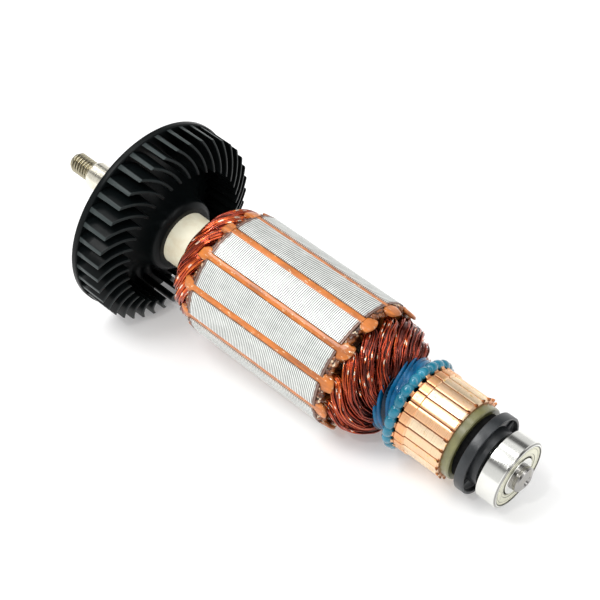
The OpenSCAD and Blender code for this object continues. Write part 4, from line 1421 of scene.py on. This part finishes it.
def ivory_plastic(f):
    """Ivory tube, satin, yellower in patches where varnish touched it."""
    m = Finish("ivory_finish", Coat_Weight=0.2, Coat_Roughness=0.2)
    cloud = m.noise(190, 4)
    base = m.over(f.ivory, cloud, (0.45, 0.0), (0.85, 0.7), (0.72, 0.56, 0.32))
    return m.done(base, (cloud, (0.2, 0.38), (0.8, 0.5)), (m.noise(1500, 2), 0.00003, 0.5))


def varnished_board(f):
    """Insulating board drowned in varnish: dark brown with wet lumps."""
    m = Finish("varnished_board_finish", Coat_Weight=0.3, Coat_Roughness=0.05)
    cloud = m.noise(500, 4, 0.7)
    base = m.tones(f.varnish, 0.15, 1.1, cloud, 0.35, 0.7)
    return m.done(base, (cloud, (0.3, 0.15), (0.8, 0.4)), (m.noise(900, 4, 0.7), 0.0006, 0.9))


def liner_paper(f):
    """Insulating paper, brown with varnish."""
    m = Finish("liner_finish", Coat_Weight=0.5, Coat_Roughness=0.15)
    cloud = m.noise(600, 4, 0.7)
    base = m.over(
        scaled(f.varnish, 0.8), cloud, (0.35, 0.0), (0.7, 1.0), scaled(f.wedge, 0.8)
    )
    return m.done(base, (cloud, (0.3, 0.3), (0.8, 0.6)), (cloud, 0.0001, 0.6))


def brown_mica():
    """Brown mica between the bars, dull and faintly grained."""
    m = Finish("mica_finish")
    cloud = m.noise(160, 4)
    base = m.tones((0.26, 0.09, 0.035), 0.8, 1.3, cloud)
    return m.done(base, (cloud, (0.25, 0.48), (0.8, 0.75)), (m.noise(2600, 2), 0.00003, 0.5))


def olive_moulding(f):
    """Olive moulding compound, turned smooth, with fine lines and a soft sheen."""
    m = Finish("olive_finish", Coat_Weight=0.6, Coat_Roughness=0.15)
    rings = m.lines(5000, 80, 3)
    base = m.tones(f.olive, 0.75, 1.35, m.noise(260, 4))
    return m.done(base, (rings, (0.25, 0.3), (0.8, 0.5)), (rings, 0.00002, 0.5))


class FinishFrameParts(bpy.types.Operator):
    """Gives the plain and inner parts their finishes"""

    bl_idname = "armature.finish_frame_parts"
    bl_label = "Plain and inner parts"

    def execute(self, context):
        f = context.scene.armature_finish
        liner = liner_paper(f)
        finishes = {name: liner for name in NODES if name.startswith("slot_liner_")}
        finishes.update({
            "insulation_tube": ivory_plastic(f),
            "fan_end_insulator": varnished_board(f),
            "commutator_end_insulator": varnished_board(f),
            "commutator_mica": brown_mica(),
            "commutator_moulding": olive_moulding(f),
            "commutator_bush": turned_steel("bush_finish", (0.5, 0.5, 0.5)),
            "bearing_balls": turned_steel("ball_finish", (0.8, 0.8, 0.8), 0.08),
            "ball_cage": turned_steel("cage_finish", (0.55, 0.5, 0.4), 0.3),
        })
        for name, material in finishes.items():
            mesh = NODES[name].data
            mesh.materials.clear()
            mesh.materials.append(material)
        return {"FINISHED"}


def add_floor(scene):
    """A plane about Y that touches the fan's rim and the core's front edge."""
    rim = Vector((FAN_BACK + 1.2 * MM, 0, -FAN_R))
    edge = Vector((CORE_FRONT, 0, -CORE_R))
    slope = math.atan2(edge.z - rim.z, edge.x - rim.x)
    under = edge - Vector((0, 0, 0.05 * MM))
    size = 3.0
    mesh = bpy.data.meshes.new("floor")
    corners = [(-size, -size, 0), (size, -size, 0), (size, size, 0), (-size, size, 0)]
    mesh.from_pydata(corners, [], [(0, 1, 2, 3)])
    mesh.transform(Matrix.Translation(under) @ Matrix.Rotation(-slope, 4, "Y"))
    floor = bpy.data.objects.new("floor", mesh)
    scene.collection.objects.link(floor)
    paper = Finish(
        "floor_paper", Roughness=0.7, Specular_IOR_Level=0.2,
        Emission_Color=(1, 1, 1, 1), Emission_Strength=0.2,
    )
    mesh.materials.append(paper.done(paper.ramp(paper.noise(6, 2), (0.3, 0.80), (0.7, 0.82))))


def add_lamp(scene, name, place, aim, size, power):
    data = bpy.data.lights.new(name, "AREA")
    data.shape = "DISK"
    data.size = size
    data.energy = power
    lamp = bpy.data.objects.new(name, data)
    lamp.location = place
    lamp.rotation_euler = (Vector(aim) - Vector(place)).to_track_quat("-Z", "Y").to_euler()
    scene.collection.objects.link(lamp)


def add_world(scene):
    """White surroundings, as bright as paper where they are seen. What is mirrored is a white
    room with two darker strips and a narrow bright one along the armature's axis."""
    world = bpy.data.worlds.new("white_room")
    world.use_nodes = True
    sky = Nodes(world.node_tree)
    shine = sky.tree.nodes["Background"]
    shine.inputs["Color"].default_value = (1, 1, 1, 1)
    where = sky.add("ShaderNodeTexCoord").outputs["Generated"]
    _, y, z = sky.add("ShaderNodeSeparateXYZ", {0: where}).outputs
    # Each stop is (share of half a turn about the axis, strength).
    strips = sky.ramp(
        sky.math("DIVIDE", sky.math("ARCTAN2", z, y), math.pi),
        (0.0, 0.9), (0.14, 0.8), (0.19, 0.12), (0.27, 0.1), (0.32, 1.0), (0.44, 0.9),
        (0.455, 5.0), (0.485, 5.0), (0.5, 0.9), (0.62, 1.0), (0.67, 0.08), (0.78, 0.12),
        (0.84, 0.8), (1.0, 0.9),
    )
    path = sky.add("ShaderNodeLightPath").outputs
    inputs = {"Factor": path["Is Glossy Ray"], "A": 0.95, "B": strips}
    mirrored = sky.add("ShaderNodeMix", inputs).outputs["Result"]
    direct = sky.math("MAXIMUM", path["Is Camera Ray"], path["Is Transmission Ray"])
    inputs = {"Factor": direct, "A": mirrored, "B": 1.0}
    seen = sky.add("ShaderNodeMix", inputs).outputs["Result"]
    sky.tree.links.new(seen, shine.inputs["Strength"])
    scene.world = world


def add_camera(scene):
    data = bpy.data.cameras.new("camera")
    data.lens = 92.04
    data.sensor_width = 36.0
    data.clip_start = 0.01
    right = Vector((0.7322, 0.6745, 0.0952)).normalized()
    forward = Vector((-0.4441, 0.5787, -0.6841)).normalized()
    up = right.cross(forward)
    spot = Matrix((right, up, -forward)).transposed().to_4x4()
    spot.translation = Vector((0.1056, -0.2277, 0.2758))
    camera = bpy.data.objects.new("camera", data)
    camera.matrix_world = spot
    scene.collection.objects.link(camera)
    scene.camera = camera


class AddStage(bpy.types.Operator):
    """Adds the floor, the lamps, the white surroundings and the camera"""

    bl_idname = "armature.add_stage"
    bl_label = "Stage"

    def execute(self, context):
        scene = context.scene
        add_floor(scene)
        middle = (-0.075, 0, 0)
        add_lamp(scene, "key_lamp", (-0.42, -0.36, 0.75), middle, 0.4, 3.4)
        add_lamp(scene, "spark_lamp", (-0.05, -0.45, 0.6), middle, 0.03, 0.7)
        add_world(scene)
        add_camera(scene)
        scene.view_settings.view_transform = "Standard"
        return {"FINISHED"}


OPERATORS = [
    AddShaft, AddFan, AddCore, AddWedges, AddCrust, AddCoils, AddLeadResin, AddCommutator,
    AddDustRing, AddBearing, FinishFrameParts, AddStage,
]


class ArmaturePanel(bpy.types.Panel):
    """Lists the armature's pieces and their settings"""

    bl_idname = "VIEW3D_PT_armature"
    bl_label = "Motor armature"
    bl_space_type = "VIEW_3D"
    bl_region_type = "UI"
    bl_category = "Armature"

    def draw(self, context):
        for operator in OPERATORS:
            self.layout.operator(operator.bl_idname)
        for group, settings in GROUPS.items():
            box = self.layout.box()
            box.label(text=settings.__name__)
            for name in settings.__annotations__:
                box.prop(getattr(context.scene, group), name)


CLASSES = [*GROUPS.values(), *OPERATORS, ArmaturePanel]


def register():
    for cls in CLASSES:
        bpy.utils.register_class(cls)
    for group, settings in GROUPS.items():
        setattr(bpy.types.Scene, group, bpy.props.PointerProperty(type=settings))


def unregister():
    for group in GROUPS:
        delattr(bpy.types.Scene, group)
    for cls in reversed(CLASSES):
        bpy.utils.unregister_class(cls)


def main():
    register()
    for operator in OPERATORS:
        family, action = operator.bl_idname.split(".")
        getattr(getattr(bpy.ops, family), action)()


if __name__ == "__main__":
    main()
